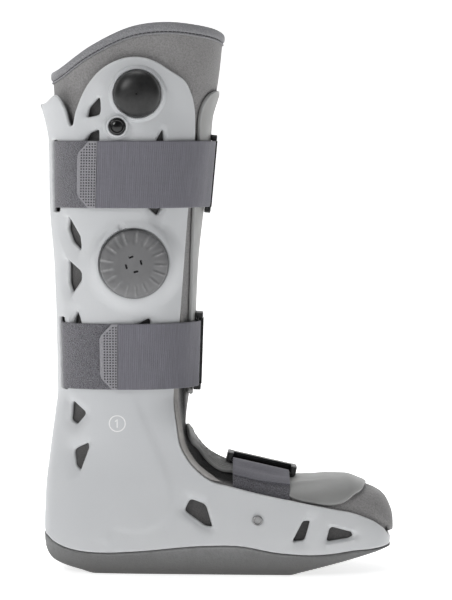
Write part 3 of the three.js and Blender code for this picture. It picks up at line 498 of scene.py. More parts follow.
def instep_at(x):
    table = np.array(INSTEP_LINE)
    rows = monotone(table[:, 0] * TOE_REACH, table[:, 1:] * ANKLE_HEIGHT, np.atleast_1d(x))
    return rows[:, 0], rows[:, 1]


def lying_wrap(inset=0.0):
    """The liner's foot: each row is a cross-section, from its top down the lateral side to its base."""
    levels = np.arange(INSTEP_LINE[0][0] * TOE_REACH, 0.9985 * TOE_REACH, 1.0)
    top, base = instep_at(levels)
    back, _, rear, fore, _, _, power = section_at(0.3 * ANKLE_HEIGHT)[0]
    half = half_width(back, TOE_REACH, rear - LINER_INSET, fore - LINER_INSET, power, levels) - inset
    middle = base + (top - base) * MIDDLE_SHARE
    turn = np.linspace(math.pi, 0, OUTLINE_STEPS)[None]
    up = -np.cos(turn)
    across = np.abs(np.sin(turn))
    shape = np.where(up > 0, CROWN_POWER, BASE_POWER)
    rise = np.where(up > 0, (top - inset - middle)[:, None], (middle - base - inset)[:, None])
    y = -half[:, None] * across ** (2 / shape)
    z = middle[:, None] + rise * np.sign(up) * np.abs(up) ** (2 / shape)
    y[:, [0, -1]] = 0
    return Wrap(levels, np.stack([np.broadcast_to(levels[:, None], y.shape), y, z], axis=2))


OUTER = standing_wrap()
LINER_LEG = standing_wrap(liner=True)
LINER_FOOT = lying_wrap()


def wall_y(place):
    """The Y of the lateral wall at a place in side view."""
    back, front, rear, fore, _, _, power = section_at(place[1])[0]
    return -float(half_width(back, front, rear, fore, power, place[0]))


def boss_face(place, radius, rise):
    """The flat face of a boss that stands out all round a control."""
    x, z = place
    return min(wall_y(p) for p in ((x, z), (x - radius, z), (x + radius, z), (x, z - radius), (x, z + radius))) - rise


BULB_FACE = boss_face(BULB_PLACE, BULB_DIAMETER / 2, BOSS_RISE)
BUTTON_FACE = boss_face(BUTTON_PLACE, COLLAR_RADIUS, BOSS_RISE / 2)
DIAL_FACE = wall_y(DIAL_PLACE) - BOSS_RISE


# Meshes


def new_piece(name, points, faces, materials, body="boot", replaces=(), smooth_angle=35.0,
              face_materials=None):
    """A mesh object from points in millimetres, riding on a body and standing for CAD nodes."""
    mesh = bpy.data.meshes.new(name)
    mesh.from_pydata([tuple(p) for p in np.asarray(points, float) * MM], [], [tuple(map(int, f)) for f in faces])
    piece = bpy.data.objects.new(name, mesh)
    bpy.context.scene.collection.objects.link(piece)
    for material in materials:
        mesh.materials.append(material)
    if face_materials is not None:
        mesh.polygons.foreach_set("material_index", np.asarray(face_materials, np.int32))
    finish_mesh(piece, smooth_angle)
    if body:
        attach(piece, body)
    if replaces:
        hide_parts(*replaces)
    return piece


def finish_mesh(piece, smooth_angle):
    mesh = piece.data
    mesh.validate()
    mesh.polygons.foreach_set("use_smooth", np.ones(len(mesh.polygons), bool))
    mesh.set_sharp_from_angle(angle=math.radians(smooth_angle))
    mesh.update()


def weld(piece, distance=0.02):
    """Merges points that lie together, and turns the faces outward."""
    mesh = bmesh.new()
    mesh.from_mesh(piece.data)
    bmesh.ops.remove_doubles(mesh, verts=mesh.verts, dist=distance * MM)
    bmesh.ops.dissolve_degenerate(mesh, edges=mesh.edges, dist=1e-7)
    loose = [v for v in mesh.verts if not v.link_faces]
    bmesh.ops.delete(mesh, geom=loose, context="VERTS")
    bmesh.ops.recalc_face_normals(mesh, faces=mesh.faces)
    mesh.to_mesh(piece.data)
    mesh.free()


def grid_faces(rows, columns, close_rows=False, close_columns=False, start=0):
    """Quads over a grid of points stored row by row."""
    faces = []
    for r in range(rows if close_rows else rows - 1):
        for c in range(columns if close_columns else columns - 1):
            a = start + r * columns + c
            b = start + r * columns + (c + 1) % columns
            d = start + (r + 1) % rows * columns + c
            e = start + (r + 1) % rows * columns + (c + 1) % columns
            faces.append((a, b, e, d))
    return faces


def set_attribute(piece, name, values):
    attribute = piece.data.attributes.new(name, "FLOAT", "POINT")
    attribute.data.foreach_set("value", np.asarray(values, np.float32))


def set_uv(piece, uv_of_point):
    """A UV map in metres from a place for each point."""
    mesh = piece.data
    layer = mesh.uv_layers.new(name="UVMap")
    index = np.empty(len(mesh.loops), np.int32)
    mesh.loops.foreach_get("vertex_index", index)
    layer.data.foreach_set("uv", (np.asarray(uv_of_point, np.float32)[index] * MM).ravel())


# Trimmed sheets


def hex_points(outline, spacing):
    low = outline.min(axis=0)
    high = outline.max(axis=0)
    rows = int((high[1] - low[1]) / (spacing * 0.866)) + 1
    points = []
    for r in range(rows):
        y = low[1] + (r + 0.5) * spacing * 0.866
        x = np.arange(low[0] + (0.5 if r % 2 else 0.0) * spacing, high[0], spacing)
        points.append(np.stack([x, np.full(len(x), y)], axis=1))
    return np.vstack(points)


def left_of(line, distance, closed):
    """Points beside a line at a distance, on both of its sides."""
    p = np.asarray(line, float)
    if closed:
        tangent = np.roll(p, -1, axis=0) - np.roll(p, 1, axis=0)
    else:
        tangent = np.gradient(p, axis=0)
    tangent /= np.maximum(np.linalg.norm(tangent, axis=1, keepdims=True), 1e-9)
    normal = np.stack([-tangent[:, 1], tangent[:, 0]], axis=1)
    return np.vstack([p + normal * distance, p - normal * distance])


def triangulate(outline, holes, edges, marks, spacing, rows=(0.35, 0.8, 1.4, 2.4)):
    """Triangles over a flat outline with holes. edges are the lines that become rims, with rows of points
    beside them, and marks are closed lines that the triangles follow."""
    every_edge = [(line, False) for line in edges] + [(hole, True) for hole in holes]
    beside = []
    for distance in rows:
        for line, closed in every_edge:
            found = left_of(line, distance, closed)
            gap = np.min([distance_to(found, other, shut) for other, shut in every_edge], axis=0)
            beside.append(found[gap > 0.93 * distance])
    for mark in marks:
        gap = np.min([distance_to(mark, other, shut) for other, shut in every_edge], axis=0)
        if gap.min() > 0.3:
            beside.append(mark)
    fill = hex_points(outline, spacing)
    near = np.min([distance_to(fill, line, closed) for line, closed in every_edge]
                  + [distance_to(fill, mark, True) for mark in marks], axis=0)
    fill = fill[near > rows[-1] + 0.45 * spacing]
    extra = np.vstack(beside + [fill])
    keep = inside(extra, outline) & (distance_to(extra, outline, True) > 0.3)
    for hole in holes:
        keep &= ~inside(extra, hole)
    extra = extra[keep]
    order = np.unique(np.round(extra / 0.25).astype(int), axis=0, return_index=True)[1]
    extra = extra[np.sort(order)]
    vertices = [Vector(p) for p in outline]
    constraints = [(k, (k + 1) % len(outline)) for k in range(len(outline))]
    for hole in holes:
        first = len(vertices)
        vertices += [Vector(p) for p in hole]
        constraints += [(first + k, first + (k + 1) % len(hole)) for k in range(len(hole))]
    vertices += [Vector(p) for p in extra]
    points, _, faces, _, _, _ = geometry.delaunay_2d_cdt(vertices, constraints, [], 0, 1e-5, False)
    points = np.array([tuple(p) for p in points])
    faces = np.array([tuple(f) for f in faces])
    centre = points[faces].mean(axis=1)
    keep = inside(centre, outline)
    for hole in holes:
        keep &= ~inside(centre, hole)
    return points, faces[keep]


def rim_edges(faces, on_middle):
    """Directed edges with a triangle on one side only, apart from those on the boot's middle plane."""
    seen = {}
    for a, b, c in faces:
        for edge in ((a, b), (b, c), (c, a)):
            seen[edge] = True
    return [(a, b) for a, b in seen if (b, a) not in seen and not (on_middle[a] and on_middle[b])]


def shell_of(outer, inner, faces, on_middle):
    """A closed half wall: the outer and inner sheets and the rim between them."""
    count = len(outer)
    both = np.vstack([outer, inner])
    out = [tuple(f) for f in faces]
    out += [(a + count, c + count, b + count) for a, b, c in faces]
    for a, b in rim_edges(faces, on_middle):
        out.append((b, a, a + count, b + count))
    return both, out


def mirrored(points, faces):
    flipped = points.copy()
    flipped[:, 1] *= -1
    return flipped, [tuple(reversed(f)) for f in faces]


def joined(parts):
    points = []
    faces = []
    start = 0
    for some_points, some_faces in parts:
        points.append(some_points)
        faces += [tuple(k + start for k in f) for f in some_faces]
        start += len(some_points)
    return np.vstack(points), faces


def edge_drop(distance, radius):
    """How far a surface falls at a rounded edge, by the distance from it."""
    inner = np.clip(radius - distance, 0, radius)
    return radius - np.sqrt(np.maximum(radius**2 - inner**2, 0))


# Materials


class Material:
    """A small helper that builds a node material."""

    def __init__(self, name, colour, roughness, **sockets):
        self.material = bpy.data.materials.new(name)
        self.material.use_nodes = True
        self.nodes = self.material.node_tree.nodes
        self.links = self.material.node_tree.links
        self.shader = self.nodes["Principled BSDF"]
        self.shader.inputs["Base Color"].default_value = (*colour, 1)
        self.shader.inputs["Roughness"].default_value = roughness
        for socket, value in sockets.items():
            self.shader.inputs[socket.replace("_", " ")].default_value = value
        self.place = self.nodes.new("ShaderNodeTexCoord").outputs["Object"]

    def node(self, kind, inputs=None, **settings):
        node = self.nodes.new("ShaderNode" + kind)
        for key, value in settings.items():
            setattr(node, key, value)
        for key, value in (inputs or {}).items():
            socket = node.inputs[key]
            if isinstance(value, bpy.types.NodeSocket):
                self.links.new(value, socket)
            else:
                socket.default_value = value
        return node

    def uv(self):
        return self.nodes.new("ShaderNodeTexCoord").outputs["UV"]

    def stretched(self, source, x=1.0, y=1.0, z=1.0):
        return self.node("Mapping", {"Vector": source, "Scale": (x, y, z)}).outputs["Vector"]

    def noise(self, scale, detail=3.0, rough=0.55, vector=None):
        inputs = {"Vector": vector or self.place, "Scale": scale, "Detail": detail, "Roughness": rough}
        return self.node("TexNoise", inputs).outputs["Fac"]

    def cells(self, scale, vector=None, randomness=1.0):
        inputs = {"Vector": vector or self.place, "Scale": scale, "Randomness": randomness}
        return self.node("TexVoronoi", inputs).outputs["Distance"]

    def waves(self, period, vector=None, direction="X", distortion=0.0, detail=0.0):
        """Bands with a period in metres."""
        inputs = {"Vector": vector or self.place, "Scale": math.tau / (20 * period), "Distortion": distortion,
                  "Detail": detail}
        return self.node("TexWave", inputs, bands_direction=direction).outputs["Fac"]

    def attribute(self, name):
        return self.node("Attribute", attribute_name=name).outputs["Fac"]

    def maths(self, operation, a, b=0.0):
        return self.node("Math", {0: a, 1: b}, operation=operation).outputs[0]

    def ramp(self, value, low, high, start=0.0, end=1.0):
        """A value stretched from one range to another, and kept inside it."""
        inputs = {"Value": value, "From Min": low, "From Max": high, "To Min": start, "To Max": end}
        return self.node("MapRange", inputs).outputs["Result"]

    def mix(self, share, first, second):
        node = self.node("Mix", data_type="RGBA")
        for socket, value in ((node.inputs[0], share), (node.inputs[6], first), (node.inputs[7], second)):
            if isinstance(value, bpy.types.NodeSocket):
                self.links.new(value, socket)
            else:
                socket.default_value = value if isinstance(value, float) else (*value, 1)
        return node.outputs[2]

    def colour(self, socket):
        self.links.new(socket, self.shader.inputs["Base Color"])

    def roughness(self, socket):
        self.links.new(socket, self.shader.inputs["Roughness"])

    def bumps(self, *layers):
        """Bump layers, each a height and its depth in metres."""
        below = None
        for height, depth in layers:
            node = self.node("Bump", {"Height": height, "Distance": depth, "Strength": 1.0})
            if below:
                self.links.new(below, node.inputs["Normal"])
            below = node.outputs["Normal"]
        self.links.new(below, self.shader.inputs["Normal"])
        return self.material


def grey(value, tint=(1.0, 1.0, 1.0)):
    """Scene-linear colour from a display grey of 0 to 255 and a tint."""
    linear = (value / 255) ** 2.2
    return tuple(linear * t for t in tint)


def shell_plastic():
    made = Material("shell_plastic", grey(200), 0.42, Specular_IOR_Level=0.45)
    cloud = made.noise(9, 2)
    speck = made.noise(900, 2)
    base = made.mix(made.ramp(cloud, 0.3, 0.7), grey(198, (0.975, 0.995, 1.02)), grey(206, (0.985, 1.0, 1.015)))
    # Painted highlight: the rims within about 2 mm of every edge are lightened, in patches broken up by noise.
    edge_highlight = made.mix(made.maths("MULTIPLY", made.attribute("edge"), made.ramp(made.noise(160, 4), 0.35, 0.7)),
                    base, grey(222, (0.99, 1.0, 1.01)))
    flecked = made.mix(made.ramp(speck, 0.62, 0.8, 0.0, 0.25), edge_highlight, grey(180))
    made.colour(made.mix(made.ramp(made.attribute("shade"), 0.15, 1.0, 0.0, 0.9), flecked, grey(70)))
    made.roughness(made.ramp(made.noise(45, 4), 0.25, 0.75, 0.34, 0.52))
    return made.bumps((made.noise(30, 2), 0.0004), (made.noise(2600, 2), 0.00003), (made.cells(1500), 0.00002))


def panel_plastic():
    made = Material("panel_plastic", grey(160), 0.45)
    cloud = made.noise(25, 3)
    base = made.mix(made.ramp(cloud, 0.3, 0.7), grey(146, (1.0, 1.0, 0.975)), grey(157, (1.0, 1.005, 0.985)))
    lit = made.mix(made.ramp(made.attribute("edge"), 0, 1, 0, 0.5), base, grey(196))
    made.colour(made.mix(made.attribute("shade"), lit, grey(46, (1.1, 1.0, 0.85))))
    made.roughness(made.ramp(made.noise(60, 4), 0.25, 0.75, 0.36, 0.56))
    return made.bumps((made.noise(45, 3), 0.0005), (made.noise(2400, 2), 0.00003))


def lip_binding():
    made = Material("lip_binding", grey(150), 0.55)
    fleck = made.noise(500, 3, 0.6)
    cloud = made.noise(40, 3)
    base = made.mix(made.ramp(cloud, 0.3, 0.7), grey(140, (1.05, 1.0, 0.95)), grey(168, (1.03, 1.0, 0.97)))
    made.colour(made.mix(made.ramp(fleck, 0.35, 0.7, 0.3, 0.0), base, grey(112, (1.05, 1.0, 0.95))))
    made.roughness(made.ramp(fleck, 0.3, 0.7, 0.45, 0.65))
    return made.bumps((made.noise(130, 3), 0.0004), (fleck, 0.0001))


def liner_fabric():
    made = Material("liner_fabric", grey(140), 0.95, Sheen_Weight=0.25, Sheen_Roughness=0.5)
    cloud = made.noise(18, 3)
    fleck = made.noise(620, 3, 0.7)
    nap = made.cells(900)
    base = made.mix(made.ramp(cloud, 0.3, 0.7), grey(134, (1.03, 1.0, 0.99)), grey(149, (1.02, 1.0, 1.0)))
    mottled = made.mix(made.ramp(fleck, 0.35, 0.68), grey(112, (1.03, 1.0, 1.0)), base)
    napped = made.mix(made.ramp(nap, 0.0, 0.6, 0.0, 0.35), mottled, grey(168, (1.02, 1.0, 0.99)))
    made.colour(made.mix(made.ramp(made.attribute("shade"), 0, 1, 0, 0.93), napped, grey(26)))
    made.roughness(made.ramp(fleck, 0.3, 0.7, 0.82, 1.0))
    return made.bumps((made.noise(120, 4), 0.0007), (fleck, 0.0003), (nap, 0.00025))


def binding_fabric():
    made = Material("binding_fabric", grey(150), 0.9, Sheen_Weight=0.2)
    twill = made.waves(0.0011, direction="DIAGONAL", distortion=1.5, detail=1.0)
    fleck = made.noise(800, 3, 0.7)
    base = made.mix(made.ramp(fleck, 0.35, 0.68), grey(126, (1.0, 1.0, 1.05)), grey(160, (1.0, 1.0, 1.04)))
    made.colour(made.mix(made.ramp(twill, 0, 1, 0, 0.3), base, grey(120, (1.0, 1.0, 1.05))))
    made.roughness(made.ramp(fleck, 0.3, 0.7, 0.8, 0.98))
    return made.bumps((made.noise(150, 3), 0.0005), (twill, 0.0002), (fleck, 0.0002))


def pile_fabric():
    made = Material("pile_fabric", grey(95), 0.97, Sheen_Weight=0.4, Sheen_Roughness=0.6)
    loops = made.cells(1150)
    fleck = made.noise(950, 3, 0.75)
    base = made.mix(made.ramp(fleck, 0.36, 0.66), grey(66, (1.0, 0.97, 1.12)), grey(112, (1.0, 0.98, 1.12)))
    made.colour(made.mix(made.ramp(loops, 0.0, 0.7, 0.55, 0.0), base, grey(136, (1.0, 0.98, 1.1))))
    made.roughness(made.ramp(fleck, 0.3, 0.7, 0.88, 1.0))
    return made.bumps((made.noise(200, 3), 0.0005), (loops, 0.0006), (fleck, 0.0005))


def smooth_webbing():
    made = Material("smooth_webbing", grey(122), 0.85, Sheen_Weight=0.3, Sheen_Roughness=0.4)
    uv = made.uv()
    ribs = made.waves(0.0016, uv, "X", 0.6, 1.0)
    picks = made.waves(0.0009, uv, "Y", 0.8, 1.0)
    streak = made.noise(1, 3, 0.6, made.stretched(uv, 900, 45))
    fleck = made.noise(900, 3, 0.7)
    base = made.mix(made.ramp(streak, 0.3, 0.7), grey(104, (1.0, 0.98, 1.14)), grey(122, (1.0, 0.98, 1.14)))
    rib = made.mix(made.ramp(ribs, 0, 1, 0, 0.14), base, grey(148, (1.0, 0.98, 1.08)))
    made.colour(made.mix(made.ramp(fleck, 0.4, 0.7, 0.35, 0.0), rib, grey(98, (1.0, 0.98, 1.12))))
    made.roughness(made.ramp(fleck, 0.3, 0.7, 0.72, 0.92))
    return made.bumps((made.noise(90, 3), 0.0004), (ribs, 0.00012), (picks, 0.00008), (fleck, 0.00015))


def tab_plastic():
    made = Material("tab_plastic", grey(138), 0.6)
    fleck = made.noise(700, 3, 0.6)
    made.colour(made.mix(made.ramp(fleck, 0.3, 0.7), grey(132, (1.0, 0.98, 1.06)), grey(152, (1.0, 0.99, 1.05))))
    made.roughness(made.ramp(fleck, 0.3, 0.7, 0.5, 0.7))
    return made.bumps((fleck, 0.00015), (made.noise(160, 2), 0.0003))


def hook_plastic():
    made = Material("hook_plastic", grey(70), 0.6)
    fleck = made.noise(1200, 2)
    made.colour(made.mix(made.ramp(fleck, 0.3, 0.7), grey(60, (1, 0.97, 1.1)), grey(80, (1, 0.97, 1.1))))
    return made.bumps((fleck, 0.0001))


def black_plastic():
    made = Material("black_plastic", grey(22), 0.38)
    fleck = made.noise(300, 4)
    made.colour(made.mix(made.ramp(fleck, 0.35, 0.7), grey(20), grey(34, (1.0, 1.0, 1.03))))
    made.roughness(made.ramp(made.noise(120, 4), 0.3, 0.7, 0.3, 0.5))
    return made.bumps((made.noise(1800, 2), 0.00005), (made.noise(60, 2), 0.0002))


def bulb_rubber():
    made = Material("bulb_rubber", grey(40), 0.36, Specular_IOR_Level=0.5)
    fleck = made.noise(260, 4)
    made.colour(made.mix(made.ramp(fleck, 0.3, 0.7), grey(30), grey(42)))
    made.roughness(made.ramp(made.noise(70, 4), 0.3, 0.7, 0.32, 0.46))
    return made.bumps((made.noise(1400, 3), 0.00005), (made.noise(50, 2), 0.0002))


def button_gloss():
    made = Material("button_gloss", grey(14), 0.14, Specular_IOR_Level=0.6)
    made.colour(made.mix(made.ramp(made.noise(400, 3), 0.3, 0.7), grey(10), grey(24)))
    made.roughness(made.ramp(made.noise(200, 4), 0.3, 0.7, 0.1, 0.24))
    return made.bumps((made.noise(180, 2), 0.00006),)


def dial_plastic():
    made = Material("dial_plastic", grey(112), 0.45)
    cloud = made.noise(60, 3)
    speck = made.noise(1300, 2)
    base = made.mix(made.ramp(cloud, 0.3, 0.7), grey(108, (1.0, 1.0, 1.02)), grey(120, (1.0, 1.0, 1.02)))
    # Painted highlight: the ridge tops are lightened, in patches broken up by noise.
    painted_ridge_highlight = made.mix(made.maths("MULTIPLY", made.attribute("edge"), made.ramp(made.noise(240, 4), 0.3, 0.7)),
                      base, grey(158))
    made.colour(made.mix(made.ramp(speck, 0.6, 0.8, 0, 0.3), painted_ridge_highlight, grey(92)))
    made.roughness(made.ramp(made.noise(90, 4), 0.3, 0.7, 0.36, 0.54))
    return made.bumps((made.noise(2200, 2), 0.00004), (made.noise(80, 2), 0.0003))


def outsole_rubber():
    made = Material("outsole_rubber", grey(132), 0.85)
    height = made.node("SeparateXYZ", {0: made.place}).outputs["Z"]
    grain = made.noise(500, 4, 0.7)
    base = made.mix(made.ramp(height, 0.0, 0.022), grey(92, (1.02, 1.0, 0.97)), grey(140, (0.99, 1.0, 1.0)))
    scuffed = made.mix(made.ramp(made.noise(90, 4), 0.5, 0.75, 0, 0.35), base, grey(108, (1.02, 1.0, 0.97)))
    made.colour(made.mix(made.ramp(grain, 0.35, 0.7, 0.3, 0), scuffed, grey(84)))
    made.roughness(made.ramp(grain, 0.3, 0.7, 0.7, 0.92))
    return made.bumps((made.noise(70, 3), 0.0005), (grain, 0.00018), (made.cells(900), 0.00012))


def rivet_metal():
    made = Material("rivet_metal", grey(150), 0.35, Metallic=0.6)
    turned = made.noise(800, 3)
    made.colour(made.mix(made.ramp(turned, 0.3, 0.7), grey(130), grey(172)))
    made.roughness(made.ramp(turned, 0.3, 0.7, 0.28, 0.45))
    return made.bumps((turned, 0.00004),)


def mark_print():
    made = Material("mark_print", grey(236), 0.5)
    made.colour(made.mix(made.ramp(made.noise(500, 3), 0.3, 0.7), grey(228), grey(243)))
    return made.bumps((made.noise(900, 2), 0.00002),)


def floor_paint():
    made = Material("floor_paint", grey(243), 0.6)
    made.colour(made.mix(made.ramp(made.noise(3, 3), 0.3, 0.7), grey(243), grey(247)))
    made.shader.inputs["Emission Color"].default_value = (1, 1, 1, 1)
    made.shader.inputs["Emission Strength"].default_value = 0.68
    return made.bumps((made.noise(200, 2), 0.00005),)


SHELL = shell_plastic()
PANEL = panel_plastic()
LIP = lip_binding()
LINER = liner_fabric()
BINDING = binding_fabric()
PILE = pile_fabric()
WEBBING = smooth_webbing()
TAB = tab_plastic()
HOOKS = hook_plastic()
BLACK = black_plastic()
RUBBER = bulb_rubber()
GLOSS = button_gloss()
DIAL = dial_plastic()
SOLE = outsole_rubber()
METAL = rivet_metal()
MARK = mark_print()


# The shell

SHEET_SPACING = 2.6
EDGE_RADIUS = 1.1
EDGE_STEP = 1.7


def to_sheet(wrap, line):
    """A side-view line as distance along the rows and level, on a standing surface."""
    p = np.asarray(line, float)
    return np.stack([wrap.arc_of(0, p[:, 0], p[:, 1]), p[:, 1]], axis=1)


def between_middles(wrap, line):
    """The stretch of a line on the sheet that lies between the boot's middle at the back and at the front."""
    p = to_sheet(wrap, line)
    side = np.asarray(line, float)[:, 0]
    grid = section_at(p[:, 1])
    inner = np.flatnonzero((side > grid[:, 0]) & (side < grid[:, 1]))
    first, last = inner[0], inner[-1]
    p = p[max(first - 1, 0):last + 2]
    p[0, 0] = 0.0 if first > 0 else p[0, 0]
    if last + 1 < len(side):
        p[-1, 0] = wrap.length_at(p[-1, 1])
    return p


def middle_line(wrap, from_z, to_z, at_front):
    z = np.linspace(from_z, to_z, max(3, int(abs(to_z - from_z) / 2.5)))
    return np.stack([wrap.length_at(z) if at_front else np.zeros(len(z)), z], axis=1)[1:-1]


def slot_hole(height, below, above):
    """The slot at the back through which a leg strap passes, with its room below and above the strap."""
    low = height - LEG_WEBBING / 2 - below
    high = height + LEG_WEBBING / 2 + above
    length = 2 * OUTER.length_at(height)
    start = (SLOT_SHARE - 0.0095) * length
    end = (SLOT_SHARE + 0.024) * length
    corners = [(start, low), (end, low), (end, high), (start, high)]
    return resample(round_corners(corners, 0.2, 5), EDGE_STEP, closed=True)


def recess_of(window, grow, shift):
    p = np.asarray(window, float)
    centre = p.mean(axis=0)
    return centre + (p - centre) * grow + np.asarray(shift, float)


def shell_half(lateral):
    edge = between_middles(OUTER, resample(curve_through(SHELL_EDGE, 1.0), EDGE_STEP))
    seam = between_middles(OUTER, resample(curve_through(SEAM, 1.0), EDGE_STEP) + (0, CLEARANCE / 2))
    back = middle_line(OUTER, edge[0, 1], seam[0, 1], False)
    front = middle_line(OUTER, seam[-1, 1], edge[-1, 1], True)
    outline = np.vstack([edge[::-1], back, seam, front])
    holes = []
    recesses = []
    for window, grow, shift in WINDOWS:
        hole = resample(round_corners(window, WINDOW_ROUND), 0.4, closed=True)
        recess = resample(round_corners(recess_of(window, grow, shift), RECESS_ROUND), 0.5, closed=True)
        holes.append(resample(to_sheet(OUTER, hole), 1.0, closed=True))
        recesses.append(resample(to_sheet(OUTER, recess), 1.5, closed=True))
    slots = [slot_hole(UPPER_STRAP_HEIGHT, 3.5, 0.6), slot_hole(LOWER_STRAP_HEIGHT, 0.6, 4.0)]
    marks = list(recesses)
    if lateral:
        marks += boss_marks()
    points, faces = triangulate(outline, holes + slots, [edge, seam], marks, SHEET_SPACING)
    arc, z = points.T
    on_middle = (arc < 1e-6) | (arc > OUTER.length_at(z) - 1e-6)
    from_edge = np.min([distance_to(points, edge), distance_to(points, seam)]
                       + [distance_to(points, hole, True) for hole in holes + slots], axis=0)
    depth = edge_drop(from_edge, EDGE_RADIUS)
    funnel = np.zeros(len(points))
    for hole, recess in zip(holes, recesses):
        within = inside(points, recess)
        d_in = distance_to(points[within], hole, True)
        d_out = distance_to(points[within], recess, True)
        fall = RECESS_DEPTH * d_out / np.maximum(d_in + d_out, 1e-6)
        funnel[within] = np.maximum(funnel[within], fall)
    base = OUTER.at(arc, z)
    relief = shell_relief(base)
    outer = OUTER.at(arc, z, relief - depth - funnel)
    inner = OUTER.at(arc, z, relief * 0.3 - funnel - SHELL_WALL)
    if lateral:
        outer = raise_bosses(outer)
    # How near each point lies to an edge; the shell's colour lightens there as a painted highlight on the rims.
    edge_share = np.clip(1 - from_edge / 2.2, 0, 1)
    made, made_faces = shell_of(outer, inner, faces, on_middle)
    # Painted shade: the gaps in the wells round the dial and the bulb, and the whole inner sheet, are darkened.
    painted_well_shade = np.zeros(len(points))
    if lateral:
        side = base[:, [0, 2]]
        painted_well_shade = np.maximum(1 - smoothstep(DIAL_WELL - 0.1, DIAL_WELL + 0.2, np.linalg.norm(side - DIAL_PLACE, axis=1)),
                            1 - smoothstep(BULB_WELL - 0.1, BULB_WELL, np.linalg.norm(side - BULB_PLACE, axis=1)))
    shade = np.concatenate([painted_well_shade, np.ones(len(points))])
    return made, made_faces, np.concatenate([edge_share, edge_share * 0]), shade


def shell_relief(points):
    """Soft relief of the wall: the heel part stands out behind the ankle crease."""
    side = points[:, [0, 2]]
    crease = curve_through(ANKLE_CREASE, 2.0)
    gap = distance_to(side, crease)
    closed = np.vstack([crease, on_foot(-0.6, 0.2), on_leg(-0.6, 0.02)])
    behind = inside(side, closed)
    signed = np.where(behind, gap, -gap)
    fade = smoothstep(0, 18, on_leg(0, 0.03)[1] - side[:, 1])
    return 0.9 * smoothstep(-4.5, 1.5, signed) * fade * smoothstep(-30, -4, side[:, 0])


def circle(place, radius, count):
    turn = np.linspace(0, math.tau, count, endpoint=False)
    return np.stack([place[0] + radius * np.cos(turn), place[1] + radius * np.sin(turn)], axis=1)


BULB_WELL = BULB_DIAMETER / 2 + 0.12
BULB_OUTER = BULB_DIAMETER / 2 + BULB_RIM
BULB_LIFT = 1.6
BUTTON_WELL = BUTTON_DIAMETER / 2 + 0.3
BUTTON_OUTER = BUTTON_DIAMETER / 2 + COLLAR_WALL + 1.6
DIAL_WELL = DIAL_DIAMETER / 2 + DIAL_GAP
DIAL_OUTER = DIAL_PAD / 2
DIAL_NOTCH = (-9.5, 28.0)


def boss_marks():
    marks = []
    for place, radii in (
        (BULB_PLACE, (BULB_WELL, BULB_WELL + 0.3, BULB_WELL + 0.9, BULB_OUTER - 0.6, BULB_OUTER, BULB_OUTER + 0.7,
                      BULB_OUTER + 1.6)),
        (BUTTON_PLACE, (BUTTON_OUTER, BUTTON_OUTER + 0.6, BUTTON_OUTER + 1.6)),
        (DIAL_PLACE, (DIAL_WELL, DIAL_WELL + 0.25, DIAL_WELL + 0.9, DIAL_WELL + 1.8, DIAL_OUTER, DIAL_OUTER + 1.1,
                      DIAL_OUTER + 2.4, DIAL_OUTER + 4.0)),
        (np.asarray(DIAL_PLACE) + DIAL_NOTCH, (1.2, 2.0)),
    ):
        for radius in radii:
            marks.append(to_sheet(OUTER, circle(place, radius, int(math.tau * radius / 1.6))))
    return marks


def raise_bosses(points):
    """The raised rings round the bulb, the button and the dial, on the lateral wall."""
    made = points.copy()
    side = points[:, [0, 2]]

    def away(place):
        return np.linalg.norm(side - np.asarray(place), axis=1)

    def blend_to(face, weight):
        made[:, 1] += (face - made[:, 1]) * weight

    bulb = away(BULB_PLACE)
    lift = BULB_LIFT * smoothstep(BULB_WELL - 0.02, BULB_WELL + 0.3, bulb)
    blend_to(BULB_FACE - lift, 1 - smoothstep(BULB_OUTER - 0.7, BULB_OUTER + 1.7, bulb))
    button = away(BUTTON_PLACE)
    blend_to(BUTTON_FACE, 1 - smoothstep(BUTTON_OUTER - 0.2, BUTTON_OUTER + 1.6, button))
    dial = away(DIAL_PLACE)
    turn = np.arctan2(side[:, 1] - DIAL_PLACE[1], side[:, 0] - DIAL_PLACE[0])
    crescent = 0.5 + 0.5 * np.cos(turn - math.radians(122))
    rise = 3.0 * crescent**2 * smoothstep(DIAL_WELL - 0.02, DIAL_WELL + 1.0, dial)
    notch = np.linalg.norm(side - np.asarray(DIAL_PLACE) - DIAL_NOTCH, axis=1)
    rise = rise - 1.7 * (1 - smoothstep(1.2, 3.4, notch))
    spread = 4.5 + 9 * (1 - crescent)
    start = DIAL_OUTER - 0.5 - 3 * (1 - crescent)
    blend_to(DIAL_FACE - rise, 1 - smoothstep(0, 1, (dial - start) / spread))
    return made


def make_shell():
    lateral, lateral_faces, lateral_edge, lateral_shade = shell_half(True)
    medial, medial_faces, medial_edge, medial_shade = shell_half(False)
    points, faces = joined([(lateral, lateral_faces), mirrored(medial, medial_faces)])
    shell = new_piece("boot_shell", points, faces, [SHELL], replaces=["shell"])
    set_attribute(shell, "edge", np.concatenate([lateral_edge, medial_edge]))
    set_attribute(shell, "shade", np.concatenate([lateral_shade, medial_shade]))
    weld(shell)
    finish_mesh(shell, 38)
    return shell


# The front panels


def panel_sheet(wrap, outline, edges, wall, offset, name, node, spacing=2.6, relief=None, shade=None):
    points, faces = triangulate(outline, [], edges, [], spacing)
    arc, level = points.T
    on_middle = (arc < 1e-6) | (arc > wrap.length_at(level) - 1e-6)
    gap = np.min([distance_to(points, edge) for edge in edges], axis=0)
    drop = edge_drop(gap, 0.9)
    lift = relief(points, gap) if relief else 0.0
    outer = wrap.at(arc, level, offset + wall - drop + lift)
    inner = wrap.at(arc, level, offset)
    made, made_faces = shell_of(outer, inner, faces, on_middle)
    share = np.clip(1 - gap / 2.0, 0, 1)
    both, both_faces = joined([(made, made_faces), mirrored(made, made_faces)])
    panel = new_piece(name, both, both_faces, [PANEL], replaces=[node])
    dark = shade(points) if shade else share * 0
    set_attribute(panel, "edge", np.concatenate([share, share * 0] * 2))
    set_attribute(panel, "shade", np.concatenate([dark, dark] * 2))
    weld(panel)
    finish_mesh(panel, 38)
    return panel


